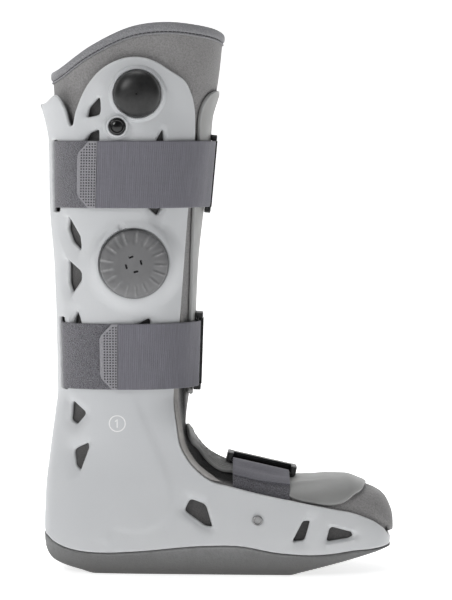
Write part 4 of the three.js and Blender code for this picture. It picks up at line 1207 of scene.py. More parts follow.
def make_shin_panel():
    edge = between_middles(OUTER, resample(curve_through(SHIN_PANEL_EDGE, 1.0), EDGE_STEP))
    low, high = edge[0, 1], edge[-1, 1]
    across = np.linspace(edge[0, 0], float(OUTER.length_at(low)), 12)
    corner = np.stack([across, low - 3.0 * smoothstep(0, 1, (across - across[0]) / np.ptp(across))], axis=1)
    corner[-1, 0] = OUTER.length_at(corner[-1, 1])
    line = np.vstack([corner[::-1], edge[1:]])
    front = middle_line(OUTER, corner[-1, 1], high, True)
    outline = np.vstack([line, front[::-1]])
    # Painted shade: the panel darkens below a height of about 145 mm, under the ankle strap.
    return panel_sheet(OUTER, outline, [line], SHIN_PANEL_WALL, -SHIN_PANEL_WALL, "shin_cover", "shin_panel",
                       shade=lambda points: 0.9 * (1 - smoothstep(142, 148, points[:, 1])))


def make_instep_panel():
    side = resample(curve_through(INSTEP_PANEL_EDGE, 1.0), EDGE_STEP)
    top, _ = instep_at(side[:, 0])
    keep = side[:, 1] < top - 0.4
    first, last = np.flatnonzero(keep)[[0, -1]]
    side = side[first:last + 1]
    arc = LINER_FOOT.arc_of(2, side[:, 1], side[:, 0])
    edge = np.stack([arc, side[:, 0]], axis=1)
    start = np.array([[0.0, edge[0, 1] - 1.0]])
    end = np.array([[0.0, edge[-1, 1] + 3.5]])
    edge = np.vstack([start, edge, end])
    edge = resample(curve_through(edge[::2], 1.0), EDGE_STEP)
    edge[0, 0] = 0.0
    edge[-1, 0] = 0.0
    edge[:, 0] = np.maximum(edge[:, 0], 0)
    x = np.arange(edge[-1, 1] - 2.5, edge[0, 1] + 1.0, -2.5)
    middle = np.stack([np.zeros(len(x)), x], axis=1)
    outline = np.vstack([edge, middle])


    def relief(points, gap):
        """Ribs along the edge behind the strap, and a soft crease in front of it."""
        behind = 1 - smoothstep(FOOT_START - 4, FOOT_START + 4, points[:, 1])
        ribs = 0.4 * np.cos(math.tau * gap / 2.7) * smoothstep(0.8, 2.0, gap)
        crease = distance_to(points, resample([(27, FOOT_END - 4), (23, FOOT_END + 16), (20, FOOT_END + 34)], 2.0))
        fade = 1 - smoothstep(FOOT_END + 8, FOOT_END + 34, points[:, 1])
        return behind * ribs + 0.9 * np.exp(-(crease / 3.2) ** 2) * (1 - behind) * fade

    def shade(points):
        return 0.42 * (1 - smoothstep(FOOT_START - 6, FOOT_START + 6, points[:, 1]))

    return panel_sheet(LINER_FOOT, outline, [edge], INSTEP_PANEL_WALL, CLEARANCE, "instep_cover", "instep_panel",
                       spacing=1.1, relief=relief, shade=shade)


# The outsole

SOLE_EDGE = 2.0


def make_outsole():
    seam = curve_through(SEAM, 1.0) - (0, CLEARANCE / 2)
    tread = curve_through(TREAD, 1.0)
    flat = resample(tread, 1.0)
    flat[:, 1] = np.maximum(flat[:, 1], 0.0)
    columns = 220
    rows = 13
    share = np.linspace(0, 1, columns)

    def meet(line, lift=0.0):
        """Distance along and height where each column of the wall meets a side-view line."""
        z = np.full(columns, 15.0)
        for _ in range(12):
            place = OUTER.at(share * OUTER.length_at(z), z)
            z = 0.5 * z + 0.5 * np.clip(line_height(line, place[:, 0]) + lift, -1.5, 60)
        return z

    top = meet(seam)
    bottom = meet(flat)
    grid = []
    inset = [SOLE_EDGE * (1 - math.sin(a)) for a in np.linspace(0, math.pi / 2, 5)]
    rise = [SOLE_EDGE * (1 - math.cos(a)) for a in np.linspace(0, math.pi / 2, 5)]
    for step_in, step_up in zip(inset, rise):
        z = np.minimum(bottom + step_up, top - 0.3)
        grid.append(OUTER.at(share * OUTER.length_at(z), z, -step_in))
        grid[-1][:, 2] = z
    for t in np.linspace(0.12, 0.9, rows):
        z = bottom + SOLE_EDGE + (top - bottom - SOLE_EDGE) * t
        z = np.clip(z, bottom + 0.3, top)
        bulge = 0.35 * math.sin(math.pi * t)
        grid.append(OUTER.at(share * OUTER.length_at(z), z, bulge - 0.3))
    for step_in, step_down in ((-0.25, 0.8), (0.1, 0.35), (0.6, 0.0)):
        z = top - step_down
        grid.append(OUTER.at(share * OUTER.length_at(z), z, -step_in))
    grid = np.array(grid)
    for row in grid:
        row[[0, -1], 1] = 0.0
    ring_rows = len(grid)
    points = grid.reshape(-1, 3)
    faces = grid_faces(ring_rows, columns)
    lateral = (points, faces)
    across = 17
    reach = np.linspace(0, 1, across)
    under = []
    over = []
    for k in range(columns):
        low = grid[0, k]
        high = grid[-1, k]
        for t in reach:
            under.append((low[0], low[1] * (1 - 2 * t), low[2] + tread_relief(low[0], low[1] * (1 - 2 * t), t)))
            over.append((high[0], high[1] * (1 - 2 * t), high[2]))
    under_faces = [tuple(reversed(f)) for f in grid_faces(columns, across)]
    over_faces = grid_faces(columns, across)
    points, faces = joined([lateral, mirrored(*lateral), (np.array(under), under_faces), (np.array(over), over_faces)])
    sole = new_piece("rocker_outsole", points, faces, [SOLE], replaces=["outsole"])
    weld(sole)
    finish_mesh(sole, 40)
    return sole


TREAD_PITCH = 9.0
TREAD_DEPTH = 1.4


def tread_relief(x, y, t):
    """Grooves across the sole, deeper in the middle, as a height."""
    edge = smoothstep(0.0, 0.12, min(t, 1 - t))
    slant = x + 0.35 * abs(y)
    phase = abs((slant / TREAD_PITCH) % 1 - 0.5)
    return float(TREAD_DEPTH * edge * (1 - smoothstep(0.1, 0.2, phase)))


# The liner and its binding

LINER_VOXEL = 2.4


def closed_loft(rings):
    """A closed skin over rings of points of one count, with a fan over each end."""
    rings = np.asarray(rings)
    count = rings.shape[1]
    points = np.vstack([rings.reshape(-1, 3), rings[0].mean(axis=0), rings[-1].mean(axis=0)])
    faces = grid_faces(len(rings), count, close_columns=True)
    low = len(points) - 2
    high = len(points) - 1
    last = (len(rings) - 1) * count
    faces += [(low, (k + 1) % count, k) for k in range(count)]
    faces += [(high, last + k, last + (k + 1) % count) for k in range(count)]
    return points, faces


def rim_height(x):
    return line_height(RIM_CURVE, x)


RIM_CURVE = curve_through(RIM, 2.0)
BASE_CURVE = curve_through(SEAM, 2.0) + (0, SHELL_FLOOR + CLEARANCE)


def leg_solid(inset, base_lift, above):
    """The liner's leg from its base up to the rim, set in from its outer surface."""
    wrap = LINER_LEG if inset == 0 else standing_wrap(inset, True)
    count = 120
    share = np.linspace(0, 2, count, endpoint=False)
    top = np.full(count, BOOT_HEIGHT - 10.0)
    low = np.full(count, 20.0)
    for _ in range(10):
        place = wrap.at(share * wrap.length_at(top), np.minimum(top, 426))
        top = rim_height(place[:, 0])
        place = wrap.at(share * wrap.length_at(low), low)
        low = line_height(BASE_CURVE, place[:, 0]) + base_lift
    rings = []
    for t in np.linspace(0, 1, 90):
        z = low + (top - low) * t
        rings.append(wrap.at(share * wrap.length_at(z), z))
    if above:
        last = rings[-1].copy()
        last[:, 2] += above
        rings.append(last)
    return closed_loft(rings)


def foot_solid(inset, base_lift, toe_short):
    wrap = LINER_FOOT if inset == 0 else lying_wrap(inset)
    count = 100
    share = np.linspace(0, 2, count, endpoint=False)
    rings = []
    for x in np.arange(wrap.levels[0], wrap.levels[-1] - toe_short, 2.0):
        ring = wrap.at(share * wrap.length_at(x), np.full(count, x))
        ring[:, 2] = np.maximum(ring[:, 2], line_height(BASE_CURVE, x) + base_lift)
        rings.append(ring)
    return closed_loft(rings)


def raw_object(name, points, faces):
    mesh = bpy.data.meshes.new(name)
    mesh.from_pydata([tuple(p) for p in np.asarray(points) * MM], [], [tuple(map(int, f)) for f in faces])
    made = bpy.data.objects.new(name, mesh)
    bpy.context.scene.collection.objects.link(made)
    weld(made, 0.001)
    return made


def combine(base, other, operation):
    modifier = base.modifiers.new("join", "BOOLEAN")
    modifier.object = other
    modifier.operation = operation
    modifier.solver = "MANIFOLD"
    apply_modifiers(base)
    bpy.data.objects.remove(other)
    return base


def apply_modifiers(piece):
    graph = bpy.context.evaluated_depsgraph_get()
    graph.update()
    mesh = bpy.data.meshes.new_from_object(piece.evaluated_get(graph))
    old = piece.data
    piece.modifiers.clear()
    piece.data = mesh
    bpy.data.meshes.remove(old)


def coordinates(piece):
    values = np.empty(len(piece.data.vertices) * 3)
    piece.data.vertices.foreach_get("co", values)
    return values.reshape(-1, 3) / MM


def set_coordinates(piece, points):
    piece.data.vertices.foreach_set("co", (np.asarray(points) * MM).ravel())
    piece.data.update()


def keep_clear_of_shell(points):
    """Points of the liner moved in from the shell's wall, where the shell covers them."""
    made = points.copy()
    back, front, rear, fore, _, _, power = section_at(made[:, 2]).T
    depth = SHELL_WALL + 1.0
    limit = half_width(back + depth, front - depth, rear - depth, fore - depth, power, made[:, 0])
    covered = 1 - smoothstep(-1.5, 5.0, made[:, 2] - line_height(SHELL_LOW_EDGE, made[:, 0]))
    made[:, 0] += covered * (np.clip(made[:, 0], back + depth, front - depth - 0.5) - made[:, 0])
    made[:, 1] += covered * (np.clip(made[:, 1], -limit, limit) - made[:, 1])
    return made


SHELL_LOW_EDGE = [on_leg(-0.7, 0.79), on_leg(0.29, 0.79)] + SHELL_EDGE[18:]


THROAT = [on_foot(0.13, 1.2), on_foot(0.208, 1.1), on_foot(0.212, 0.85), on_foot(0.242, 0.715), on_foot(0.285, 0.63),
          on_foot(0.345, 0.566), on_foot(0.4, 0.54), on_foot(0.4, 0.5), on_foot(0.33, 0.535), on_foot(0.27, 0.6),
          on_foot(0.235, 0.68), on_foot(0.215, 0.79), on_foot(0.205, 0.93), on_foot(0.2, 1.1)]


def throat_depth(points):
    """How far each place of the liner lies in the gap between the shell's front edge and the tongue, where the liner is
    pushed in and darkened as painted shade.
    """
    side = points[:, [0, 2]]
    within = inside(side, THROAT[1:])
    gap = distance_to(side, THROAT[1:], True)
    return np.where(within, 1.0, 1 - smoothstep(0, 2.5, gap))


def make_liner():
    outer = combine(raw_object("liner_outer", *leg_solid(0, 0, 0)),
                    raw_object("liner_foot", *foot_solid(0, 0, 0)), "UNION")
    hollow = combine(raw_object("liner_room", *leg_solid(LINER_WALL, FOOTBED, 12)),
                     raw_object("liner_toe_room", *foot_solid(LINER_WALL, FOOTBED, 9)), "UNION")
    liner = combine(outer, hollow, "DIFFERENCE")
    liner.name = "padded_liner"
    remesh = liner.modifiers.new("even", "REMESH")
    remesh.mode = "VOXEL"
    remesh.voxel_size = LINER_VOXEL * MM
    smooth = liner.modifiers.new("soften", "SMOOTH")
    smooth.iterations = 4
    smooth.factor = 0.5
    apply_modifiers(liner)
    places = keep_clear_of_shell(coordinates(liner))
    throat = throat_depth(places)
    places[:, 1] -= np.sign(places[:, 1]) * 4.5 * throat
    set_coordinates(liner, places)
    # Painted shade on the liner: the throat gap, a strip beside the shin panel's edge and the places seen through the
    # windows are darkened.
    beside_panel = distance_to(places[:, [0, 2]], curve_through(SHIN_PANEL_EDGE, 3.0))
    gap_shade = (1 - smoothstep(1.2, 3.4, beside_panel)) * (places[:, 2] > ANKLE_HEIGHT - 6)
    shade = np.maximum(throat, gap_shade)
    for window, _, _ in WINDOWS:
        gap = distance_to(places[:, [0, 2]], window, True)
        behind = np.where(inside(places[:, [0, 2]], window), 1.0, 1 - smoothstep(0, 5, gap))
        shade = np.maximum(shade, 0.78 * behind)
    set_attribute(liner, "shade", shade)
    liner.data.materials.clear()
    liner.data.materials.append(LINER)
    finish_mesh(liner, 70)
    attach(liner, "boot")
    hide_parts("liner")
    return liner


def make_binding():
    """Binding tape over the liner's rim: a rounded channel with a sewn crease and a piped lower edge."""
    wrap = LINER_LEG
    count = 300
    share = np.linspace(0, 2, count, endpoint=False)
    top = np.full(count, BOOT_HEIGHT - 10.0)
    for _ in range(12):
        place = wrap.at(share * wrap.length_at(top), np.minimum(top, 426))
        top = rim_height(place[:, 0])
    outside = CLEARANCE + BINDING_WALL
    inside_face = LINER_WALL + CLEARANCE + BINDING_WALL
    profile = [
        # out from the liner's outer face, up from the rim
        (0.3, -7.6), (0.9, -7.5), (1.2, -7.1), (1.2, -6.6), (0.8, -6.2), (0.3, -6.0), (0.1, -5.7), (0.3, -5.4),
        (1.1, -5.1), (1.5, -4.6), (1.65, -3.2), (1.6, -1.4), (1.4, 0.0), (0.9, 0.9), (-0.2, 1.4), (-3.0, 1.75),
        (-5.8, 1.4), (-7.0, 0.7), (-7.5, -0.4), (-7.55, -1.4), (-7.2, -1.9), (-7.55, -2.4), (-7.55, -4.6),
        (-7.1, -5.0), (-6.35, -4.9), (-6.3, -2.0), (-5.6, -0.2), (-3.0, 0.35), (-0.4, -0.2), (0.3, -2.0),
    ]
    rings = []
    for out, up in profile:
        z = top + up
        ring = wrap.at(share * wrap.length_at(np.minimum(z, 426.5)), np.minimum(z, 426.5), out)
        ring[:, 2] = z
        rings.append(ring)
    rings = np.array(rings)
    wobble = 0.12 * np.sin(share * 90.0) + 0.08 * np.sin(share * 41.0 + 1.3)
    normal = rings[9] - rings[18]
    normal[:, 2] = 0
    normal /= np.linalg.norm(normal, axis=1, keepdims=True)
    for k in range(7, 13):
        rings[k] += normal * wobble[:, None] * 0.6
    points = rings.reshape(-1, 3)
    faces = grid_faces(len(profile), count, close_rows=True, close_columns=True)
    binding = new_piece("rim_binding", points, faces, [BINDING], replaces=["collar_binding"])
    weld(binding, 0.001)
    finish_mesh(binding, 50)
    stitches(wrap, top, share, -5.7, 0.35)
    return binding


def stitches(wrap, top, share, up, out):
    """A row of sewing stitches along the binding's crease."""
    length = 2 * wrap.length_at(float(top.mean()))
    count = int(length / 3.2)
    parts = []
    middle = np.interp(np.linspace(0, 2, count, endpoint=False), share, top)
    for k, turn in enumerate(np.linspace(0, 2, count, endpoint=False)):
        z = min(middle[k] + up, 426)
        here = turn * wrap.length_at(z)
        slope = (middle[(k + 1) % count] - middle[k - 1]) / (2 * length / count)
        a, b = wrap.at(np.array([here - 1.0, here + 1.0]), np.array([z - slope, z + slope]), out)
        parts.append(capsule(a, b, 0.32))
    points, faces = joined(parts)
    thread = new_piece("binding_thread", points, faces, [HOOKS])
    return thread


def capsule(a, b, radius, sides=6):
    """A short rounded thread from a to b."""
    axis = (b - a) / max(np.linalg.norm(b - a), 1e-9)
    other = np.array([0, 0, 1.0]) if abs(axis[2]) < 0.9 else np.array([1.0, 0, 0])
    u = np.cross(axis, other)
    u /= np.linalg.norm(u)
    v = np.cross(axis, u)
    rings = []
    for place, size in ((a - axis * radius * 0.7, 0.35), (a, 1.0), (b, 1.0), (b + axis * radius * 0.7, 0.35)):
        turn = np.linspace(0, math.tau, sides, endpoint=False)
        rings.append(place + radius * size * (np.cos(turn)[:, None] * u + np.sin(turn)[:, None] * v))
    return closed_loft(rings)


# Straps

FOLD_GAP = 0.12
LAYER = CLEARANCE + WEBBING_WALL / 2
UPPER_LAYER = LAYER + WEBBING_WALL + FOLD_GAP
BAR_CENTRE = WEBBING_WALL + 2 * FOLD_GAP + RING_WIRE / 2
FOLD_RADIUS = RING_WIRE / 2 + FOLD_GAP + WEBBING_WALL / 2
FOLD_TOP = BAR_CENTRE + FOLD_RADIUS + WEBBING_WALL / 2
BAR_REACH = RING_OPENING / 2 + RING_BAR
FOLD_CENTRE = RING_OPENING / 2 + 0.5
STEP_ALONG = 2.0


def ribbon_grid(paths, levels, wall, place, edge_round=0.7):
    """A strap's surface: a path for each level across its width, all of one count, in the plane of the level.
    Returns the ring of points round each station, the outer face first."""
    paths = np.asarray(paths)
    tangent = np.gradient(paths, axis=1)
    tangent /= np.maximum(np.linalg.norm(tangent, axis=2, keepdims=True), 1e-9)
    normal = np.stack([tangent[..., 1], -tangent[..., 0]], axis=2)
    low, high = levels[0], levels[-1]
    from_edge = np.minimum(levels - low, high - levels)
    half = wall / 2 - edge_drop(from_edge, edge_round) * 0.9
    outer = paths + normal * half[:, None, None]
    inner = paths - normal * half[:, None, None]
    rings = []
    for k in range(paths.shape[1]):
        up = [place(level, outer[n, k]) for n, level in enumerate(levels)]
        down = [place(level, inner[n, k]) for n, level in enumerate(levels)]
        rings.append(up + down[::-1])
    return np.array(rings, float)


def cross_levels(low, high, step):
    """Levels across a strap, closer together at its edges."""
    edge = [0.0, 0.25, 0.6, 1.2]
    inner = np.linspace(low + 2.6, high - 2.6, max(2, int((high - low - 5.2) / step) + 1))
    return np.concatenate([[low + e for e in edge], inner, [high - e for e in reversed(edge)]])


def station_path(stations, points_of, counts):
    """A smooth path through station points with set counts between them."""
    p = points_of
    p = np.vstack([2 * p[0] - p[1], p, 2 * p[-1] - p[-2]])
    out = []
    for k in range(len(points_of) - 1):
        a, b, c, d = p[k:k + 4]
        t0 = 0.0
        t1 = t0 + max(np.linalg.norm(b - a), 1e-6) ** 0.5
        t2 = t1 + max(np.linalg.norm(c - b), 1e-6) ** 0.5
        t3 = t2 + max(np.linalg.norm(d - c), 1e-6) ** 0.5
        for t in np.linspace(t1, t2, counts[k], endpoint=False):
            a1 = (t1 - t) / (t1 - t0) * a + (t - t0) / (t1 - t0) * b
            a2 = (t2 - t) / (t2 - t1) * b + (t - t1) / (t2 - t1) * c
            a3 = (t3 - t) / (t3 - t2) * c + (t - t2) / (t3 - t2) * d
            b1 = (t2 - t) / (t2 - t0) * a1 + (t - t0) / (t2 - t0) * a2
            b2 = (t3 - t) / (t3 - t1) * a2 + (t - t1) / (t3 - t1) * a3
            out.append((t2 - t) / (t2 - t1) * b1 + (t - t1) / (t2 - t1) * b2)
    out.append(points_of[-1])
    return np.array(out)


def strap_piece(name, node, lines, levels, place, fold_from, fold_to, wall=WEBBING_WALL):
    """A strap from station points at each level. Faces between two station indices are smooth webbing, and the
    rest is pile."""
    middle = lines[len(levels) // 2]
    gaps = np.linalg.norm(np.diff(middle, axis=0), axis=1)
    counts = [max(2, int(math.ceil(gap / STEP_ALONG))) for gap in gaps]
    paths = [station_path(None, line, counts) for line in lines]
    rings = ribbon_grid(paths, levels, wall, place)
    points, faces = closed_loft(rings)
    ring_size = rings.shape[1]
    starts = np.concatenate([[0], np.cumsum(counts)])
    smooth_from, smooth_to = (starts[k] for k in (fold_from, fold_to))
    kinds = []
    for face in faces:
        ring = min(k // ring_size for k in face[:4])
        kinds.append(1 if not smooth_from <= ring < smooth_to else 0)
    along = np.concatenate([[0], np.cumsum(np.linalg.norm(np.diff(paths[len(levels) // 2], axis=0), axis=1))])
    uv = np.empty((len(points), 2))
    across = np.concatenate([levels, levels[::-1]])
    for k in range(len(rings)):
        uv[k * ring_size:(k + 1) * ring_size, 0] = along[k]
        uv[k * ring_size:(k + 1) * ring_size, 1] = across
    uv[-2:] = 0
    strap = new_piece(name, points, faces, [PILE, WEBBING], replaces=[node],
                      face_materials=kinds, smooth_angle=50)
    set_uv(strap, uv)
    return strap


class LegStrap:
    def __init__(self, height, tab):
        self.bottom = height - LEG_WEBBING / 2
        self.top = height + LEG_WEBBING / 2
        self.height = height
        self.length = 2 * float(OUTER.length_at(height))
        self.tab_share = float(OUTER.arc_of(0, tab[1] * CALF_DEPTH, height)) / self.length
        self.tab_end = float(OUTER.arc_of(0, tab[0] * CALF_DEPTH, height)) / self.length
        fronts = section_at([self.bottom, self.top])[:, 1]
        self.front_low, self.front_high = fronts[0] - 0.4, fronts[1] - 1.0
        self.levels = cross_levels(self.bottom, self.top, 3.0)

    def front(self, z):
        return self.front_low + (self.front_high - self.front_low) * (z - self.bottom) / LEG_WEBBING

    def on_loop(self, share, arc, offset, z):
        loop = 2 * float(OUTER.length_at(z))
        return OUTER.at(np.array([share * loop + arc]), np.array([z]), offset)[0][:2]

    def fold(self, side, z):
        points = []
        for degrees in range(-90, 91, 20):
            turn = math.radians(degrees)
            points.append((self.front(z) + BAR_CENTRE + FOLD_RADIUS * math.sin(turn),
                           side * (FOLD_CENTRE - FOLD_RADIUS * math.cos(turn))))
        points.append((self.front(z) + BAR_CENTRE + FOLD_RADIUS, side * (BAR_REACH + CLEARANCE)))
        return points

    def stations(self):
        climb = BAR_REACH + 12
        front_share = 0.5 - (climb + 5) / self.length
        slot = [(0.036, LAYER), (0.018, LAYER * 0.85), (0.004, -0.9), (-0.006, -3.3),
                (-0.018, -SHELL_WALL - LAYER)]
        deep = -SHELL_WALL - LAYER
        out = [("at", 0.5, arc, UPPER_LAYER) for arc in (climb + STRAP_FOLD_BACK, climb + STRAP_FOLD_BACK / 2, climb)]
        out.append(("fold", 1, True))
        out += [("at", 0.5, arc, LAYER) for arc in (BAR_REACH + 4, climb - 4, climb)]
        out += [("at", s, 0, LAYER) for s in np.linspace(1 - front_share, 1 - SLOT_SHARE - 0.05, 15)]
        out += [("at", -SLOT_SHARE - s, 0, o) for s, o in slot]
        out += [("at", s, 0, deep) for s in np.linspace(-SLOT_SHARE + 0.04, SLOT_SHARE - 0.04, 4)]
        out += [("at", SLOT_SHARE + s, 0, o) for s, o in reversed(slot)]
        out += [("at", s, 0, LAYER) for s in np.linspace(SLOT_SHARE + 0.05, front_share, 15)]
        out += [("at", 0.5, -arc, LAYER) for arc in (climb, climb - 4, BAR_REACH + 4)]
        out.append(("fold", -1, False))
        out.append(("at", 0.5, -climb, UPPER_LAYER))
        out += [("at", s, 0, UPPER_LAYER) for s in np.linspace(front_share, self.tab_share, 13)]
        return out

    def line(self, z):
        points = []
        marks = []
        for station in self.stations():
            if station[0] == "fold":
                folded = self.fold(station[1], z)
                marks.append((len(points), len(points) + len(folded)))
                points += folded[::-1] if station[2] else folded
            else:
                _, share, arc, offset = station
                points.append(self.on_loop(share, arc, offset, z))
        return np.array(points), marks

    def make(self, name, node):
        lines = []
        for z in self.levels:
            line, marks = self.line(z)
            lines.append(line)
        first, second = marks
        return strap_piece(name, node, lines, self.levels, lambda z, p: (p[0], p[1], z), first[1], second[0])

    def make_tab(self, name, node):
        gap = CLEARANCE / self.length
        start = self.tab_share - gap
        chamfer = 10.0
        length = (start - self.tab_end) * self.length
        steps = 14
        paths = []
        for z in self.levels:
            from_edge = min(z - self.bottom, self.top - z)
            cut = max(0.0, chamfer - from_edge) * 0.9
            shares = np.linspace(start, self.tab_end + cut / self.length, steps)
            paths.append([self.on_loop(s, 0, UPPER_LAYER, z) for s in shares])
        paths = np.array(paths)[:, ::-1]
        rings = ribbon_grid(paths, self.levels, WEBBING_WALL, lambda z, p: (p[0], p[1], z), 0.5)
        points, faces = closed_loft(rings)
        tab = new_piece(name, points, faces, [TAB], replaces=[node], smooth_angle=50)
        weld(tab, 0.001)
        self.make_hooks(name + "_hooks", start, length, chamfer)
        return tab

    def make_hooks(self, name, start, length, chamfer):
        """The tab's moulded hooks, as rows of low studs."""
        pitch = 2.09
        parts = []
        columns = int((length - 2.0) / pitch)
        rows = int((LEG_WEBBING - 2.0) / pitch)
        for c in range(columns):
            along = 1.2 + c * pitch
            for r in range(rows):
                z = self.bottom + (LEG_WEBBING - (rows - 1) * pitch) / 2 + r * pitch
                from_edge = min(z - self.bottom, self.top - z)
                if along > length - max(0.0, chamfer - from_edge) * 0.9 - 1.3:
                    continue
                share = start - along / self.length
                offset = UPPER_LAYER + WEBBING_WALL / 2
                arc = share * 2 * float(OUTER.length_at(z))
                centre = OUTER.at(np.array([arc]), np.array([z]), offset - 0.1)[0]
                normal = OUTER.normal_at(np.array([arc]), np.array([z]))[0]
                parts.append(stud(centre, normal, 0.68, 0.45))
        points, faces = joined(parts)
        return new_piece(name, points, faces, [HOOKS], smooth_angle=60)


def stud(centre, normal, radius, height, sides=8):
    other = np.array([0, 0, 1.0])
    u = np.cross(normal, other)
    u /= np.linalg.norm(u)
    v = np.cross(normal, u)
    turn = np.linspace(0, math.tau, sides, endpoint=False)
    ring = np.cos(turn)[:, None] * u + np.sin(turn)[:, None] * v
    rings = [centre + radius * ring, centre + normal * height * 0.6 + radius * 0.9 * ring,
             centre + normal * height + radius * 0.45 * ring]
    return closed_loft(rings)


FOOT_START = FOOT_STRAP_REACH - FOOT_WEBBING / 2
FOOT_END = FOOT_STRAP_REACH + FOOT_WEBBING / 2
PANEL_LAYER = INSTEP_PANEL_WALL + CLEARANCE + LAYER
FOOT_LEAD = 9.0
FOOT_DROP = 74.0
FOOT_ROUTE = [
    # distance from the top as a share of FOOT_DROP, share of the climb onto the instep panel
    (1, 0), (0.892, 0), (0.784, 0), (0.649, 0), (0.568, 0), (0.52, 0.32), (0.473, 0.7), (0.432, 1), (0.351, 1),
]


def foot_top(x):
    """The height of the ring's seat on the instep, a straight line along the strap's width."""
    ends, _ = instep_at([FOOT_START, FOOT_END])
    return float(np.interp(x, [FOOT_START, FOOT_END], ends)) + CLEARANCE + INSTEP_PANEL_WALL


def foot_strap(name, node, side, fold_back):
    climb = BAR_REACH + FOOT_LEAD
    base = [(distance * FOOT_DROP, LAYER + (PANEL_LAYER - LAYER) * climbed) for distance, climbed in FOOT_ROUTE]
    base += [(climb, PANEL_LAYER), (BAR_REACH + 4, PANEL_LAYER)]
    back = [(arc, PANEL_LAYER + WEBBING_WALL + 0.4) for arc in np.linspace(climb, climb + fold_back, 5)]
    levels = cross_levels(FOOT_START, FOOT_END, 3.0)
    lines = []
    for x in levels:
        def at(arc, offset):
            y, z = LINER_FOOT.at(np.array([arc]), np.array([x]), offset)[0][1:]
            return (y * side, z)
        line = [at(arc, offset) for arc, offset in base]
        for degrees in range(-90, 91, 20):
            turn = math.radians(degrees)
            line.append((-side * (FOLD_CENTRE - FOLD_RADIUS * math.cos(turn)),
                         foot_top(x) + BAR_CENTRE + FOLD_RADIUS * math.sin(turn)))
        line.append((-side * (BAR_REACH + CLEARANCE), foot_top(x) + BAR_CENTRE + FOLD_RADIUS))
        line += [at(arc, offset) for arc, offset in back]
        lines.append(np.array(line))
    last = len(lines[0]) - 1
    strap = strap_piece(name, node, lines, levels, lambda x, p: (x, p[0], p[1]), 0, len(base))
    weld(strap, 0.001)
    return strap


# Rings


def ring_piece(name, node, length, place, crown):
    """A rectangular ring of rounded bar. place turns local across, along and out into the frame."""
    corner = 2.6
    half_across = RING_OPENING / 2 + RING_BAR / 2
    half_along = length / 2 + RING_BAR / 2
    path = []
    for cx, cy, start in ((1, 1, 0), (-1, 1, 90), (-1, -1, 180), (1, -1, 270)):
        for degrees in np.linspace(start, start + 90, 7):
            turn = math.radians(degrees)
            path.append((cx * (half_across - corner) + corner * math.cos(turn),
                         cy * (half_along - corner) + corner * math.sin(turn)))
    path = resample(path, 1.8, closed=True)
    tangent = np.roll(path, -1, axis=0) - np.roll(path, 1, axis=0)
    tangent /= np.linalg.norm(tangent, axis=1, keepdims=True)
    outward = np.stack([tangent[:, 1], -tangent[:, 0]], axis=1)
    sides = 28
    rings = []
    for k in range(sides):
        turn = math.tau * k / sides
        c, s = math.cos(turn), math.sin(turn)
        out = RING_BAR / 2 * math.copysign(abs(c) ** 0.45, c)
        up = RING_WIRE / 2 * math.copysign(abs(s) ** 0.45, s)
        rings.append([place(px + out * nx, py + out * ny, up)
                      for (px, py), (nx, ny) in zip(path, outward)])
    rings = np.array(rings, float)
    faces = grid_faces(sides, len(path), close_rows=True, close_columns=True)
    frame_part = (rings.reshape(-1, 3), faces)
    points, faces = joined([frame_part, ring_crown(half_along, place, crown)])
    ring = new_piece(name, points, faces, [BLACK], replaces=[node], smooth_angle=40)
    weld(ring, 0.001)
    return ring


def ring_crown(half_along, place, height):
    """The ring's ribbed bridge, which stands out between the folds of webbing, with its broad ends."""
    middle = 4.4
    broad = BAR_REACH - 0.6
    base = -BAR_CENTRE + 0.7
    strap_end = half_along - RING_BAR / 2 - 0.2
    stations = [(-half_along - 2.3, 0.55), (-half_along - 1.9, 0.85), (-half_along - 1.0, 1.0), (-strap_end - 0.9, 1.0),
                (-strap_end - 0.25, 0.9), (-strap_end, 0.0), (strap_end, 0.0), (strap_end + 0.25, 0.9),
                (strap_end + 0.9, 1.0), (half_along + 1.0, 1.0), (half_along + 1.9, 0.85), (half_along + 2.3, 0.55)]
    rings = []
    for along, end in stations:
        low = base * end - 0.6 * (1 - end)
        top = height - (0.0 if end < 0.1 else 0.5 + (1 - end))
        half = middle + (broad - middle) * end
        ring = []
        outs = np.linspace(low + 0.4, top - 0.4, 13)
        ridge = 0.32 * np.cos(math.tau * (outs - top) / 1.5) if end < 0.1 else 0 * outs
        side = half - 0.35 + ridge
        for out, reach in zip(outs, side):
            ring.append((-reach, out))
        ring += [(-half * 0.86, top), (-half * 0.4, top + 0.1), (half * 0.4, top + 0.1), (half * 0.86, top)]
        for out, reach in zip(outs[::-1], side[::-1]):
            ring.append((reach, out))
        ring += [(half * 0.86, low), (-half * 0.86, low)]
        rings.append([place(across, along, out) for across, out in ring])
    return closed_loft(rings)


def leg_ring(name, node, strap, crown, rise):
    middle = np.array([(strap.front_low + strap.front_high) / 2 + BAR_CENTRE, 0, strap.height + rise])
    lean = math.atan2(strap.front_high - strap.front_low, LEG_WEBBING)
    up = np.array([math.sin(lean), 0, math.cos(lean)])
    out = np.array([math.cos(lean), 0, -math.sin(lean)])
    side = np.array([0, 1.0, 0])
    return ring_piece(name, node, LEG_WEBBING + 2 * CLEARANCE,
                      lambda across, along, rise: middle + side * across + up * along + out * rise,
                      FOLD_TOP - BAR_CENTRE + crown)


def foot_ring():
    ends = [foot_top(FOOT_START), foot_top(FOOT_END)]
    slope = math.atan2(ends[0] - ends[1], FOOT_WEBBING)
    length = FOOT_WEBBING / math.cos(slope) + RING_WIRE * math.tan(slope) + 2 * CLEARANCE
    middle = np.array([FOOT_STRAP_REACH, 0, (ends[0] + ends[1]) / 2 + BAR_CENTRE])
    along_axis = np.array([math.cos(slope), 0, -math.sin(slope)])
    out = np.array([math.sin(slope), 0, math.cos(slope)])
    side = np.array([0, 1.0, 0])
    return ring_piece("instep_ring", "forefoot_ring", length,
                      lambda across, along, rise: middle + side * across + along_axis * along + out * rise,
                      FOLD_TOP - BAR_CENTRE + 3.9)


# Controls


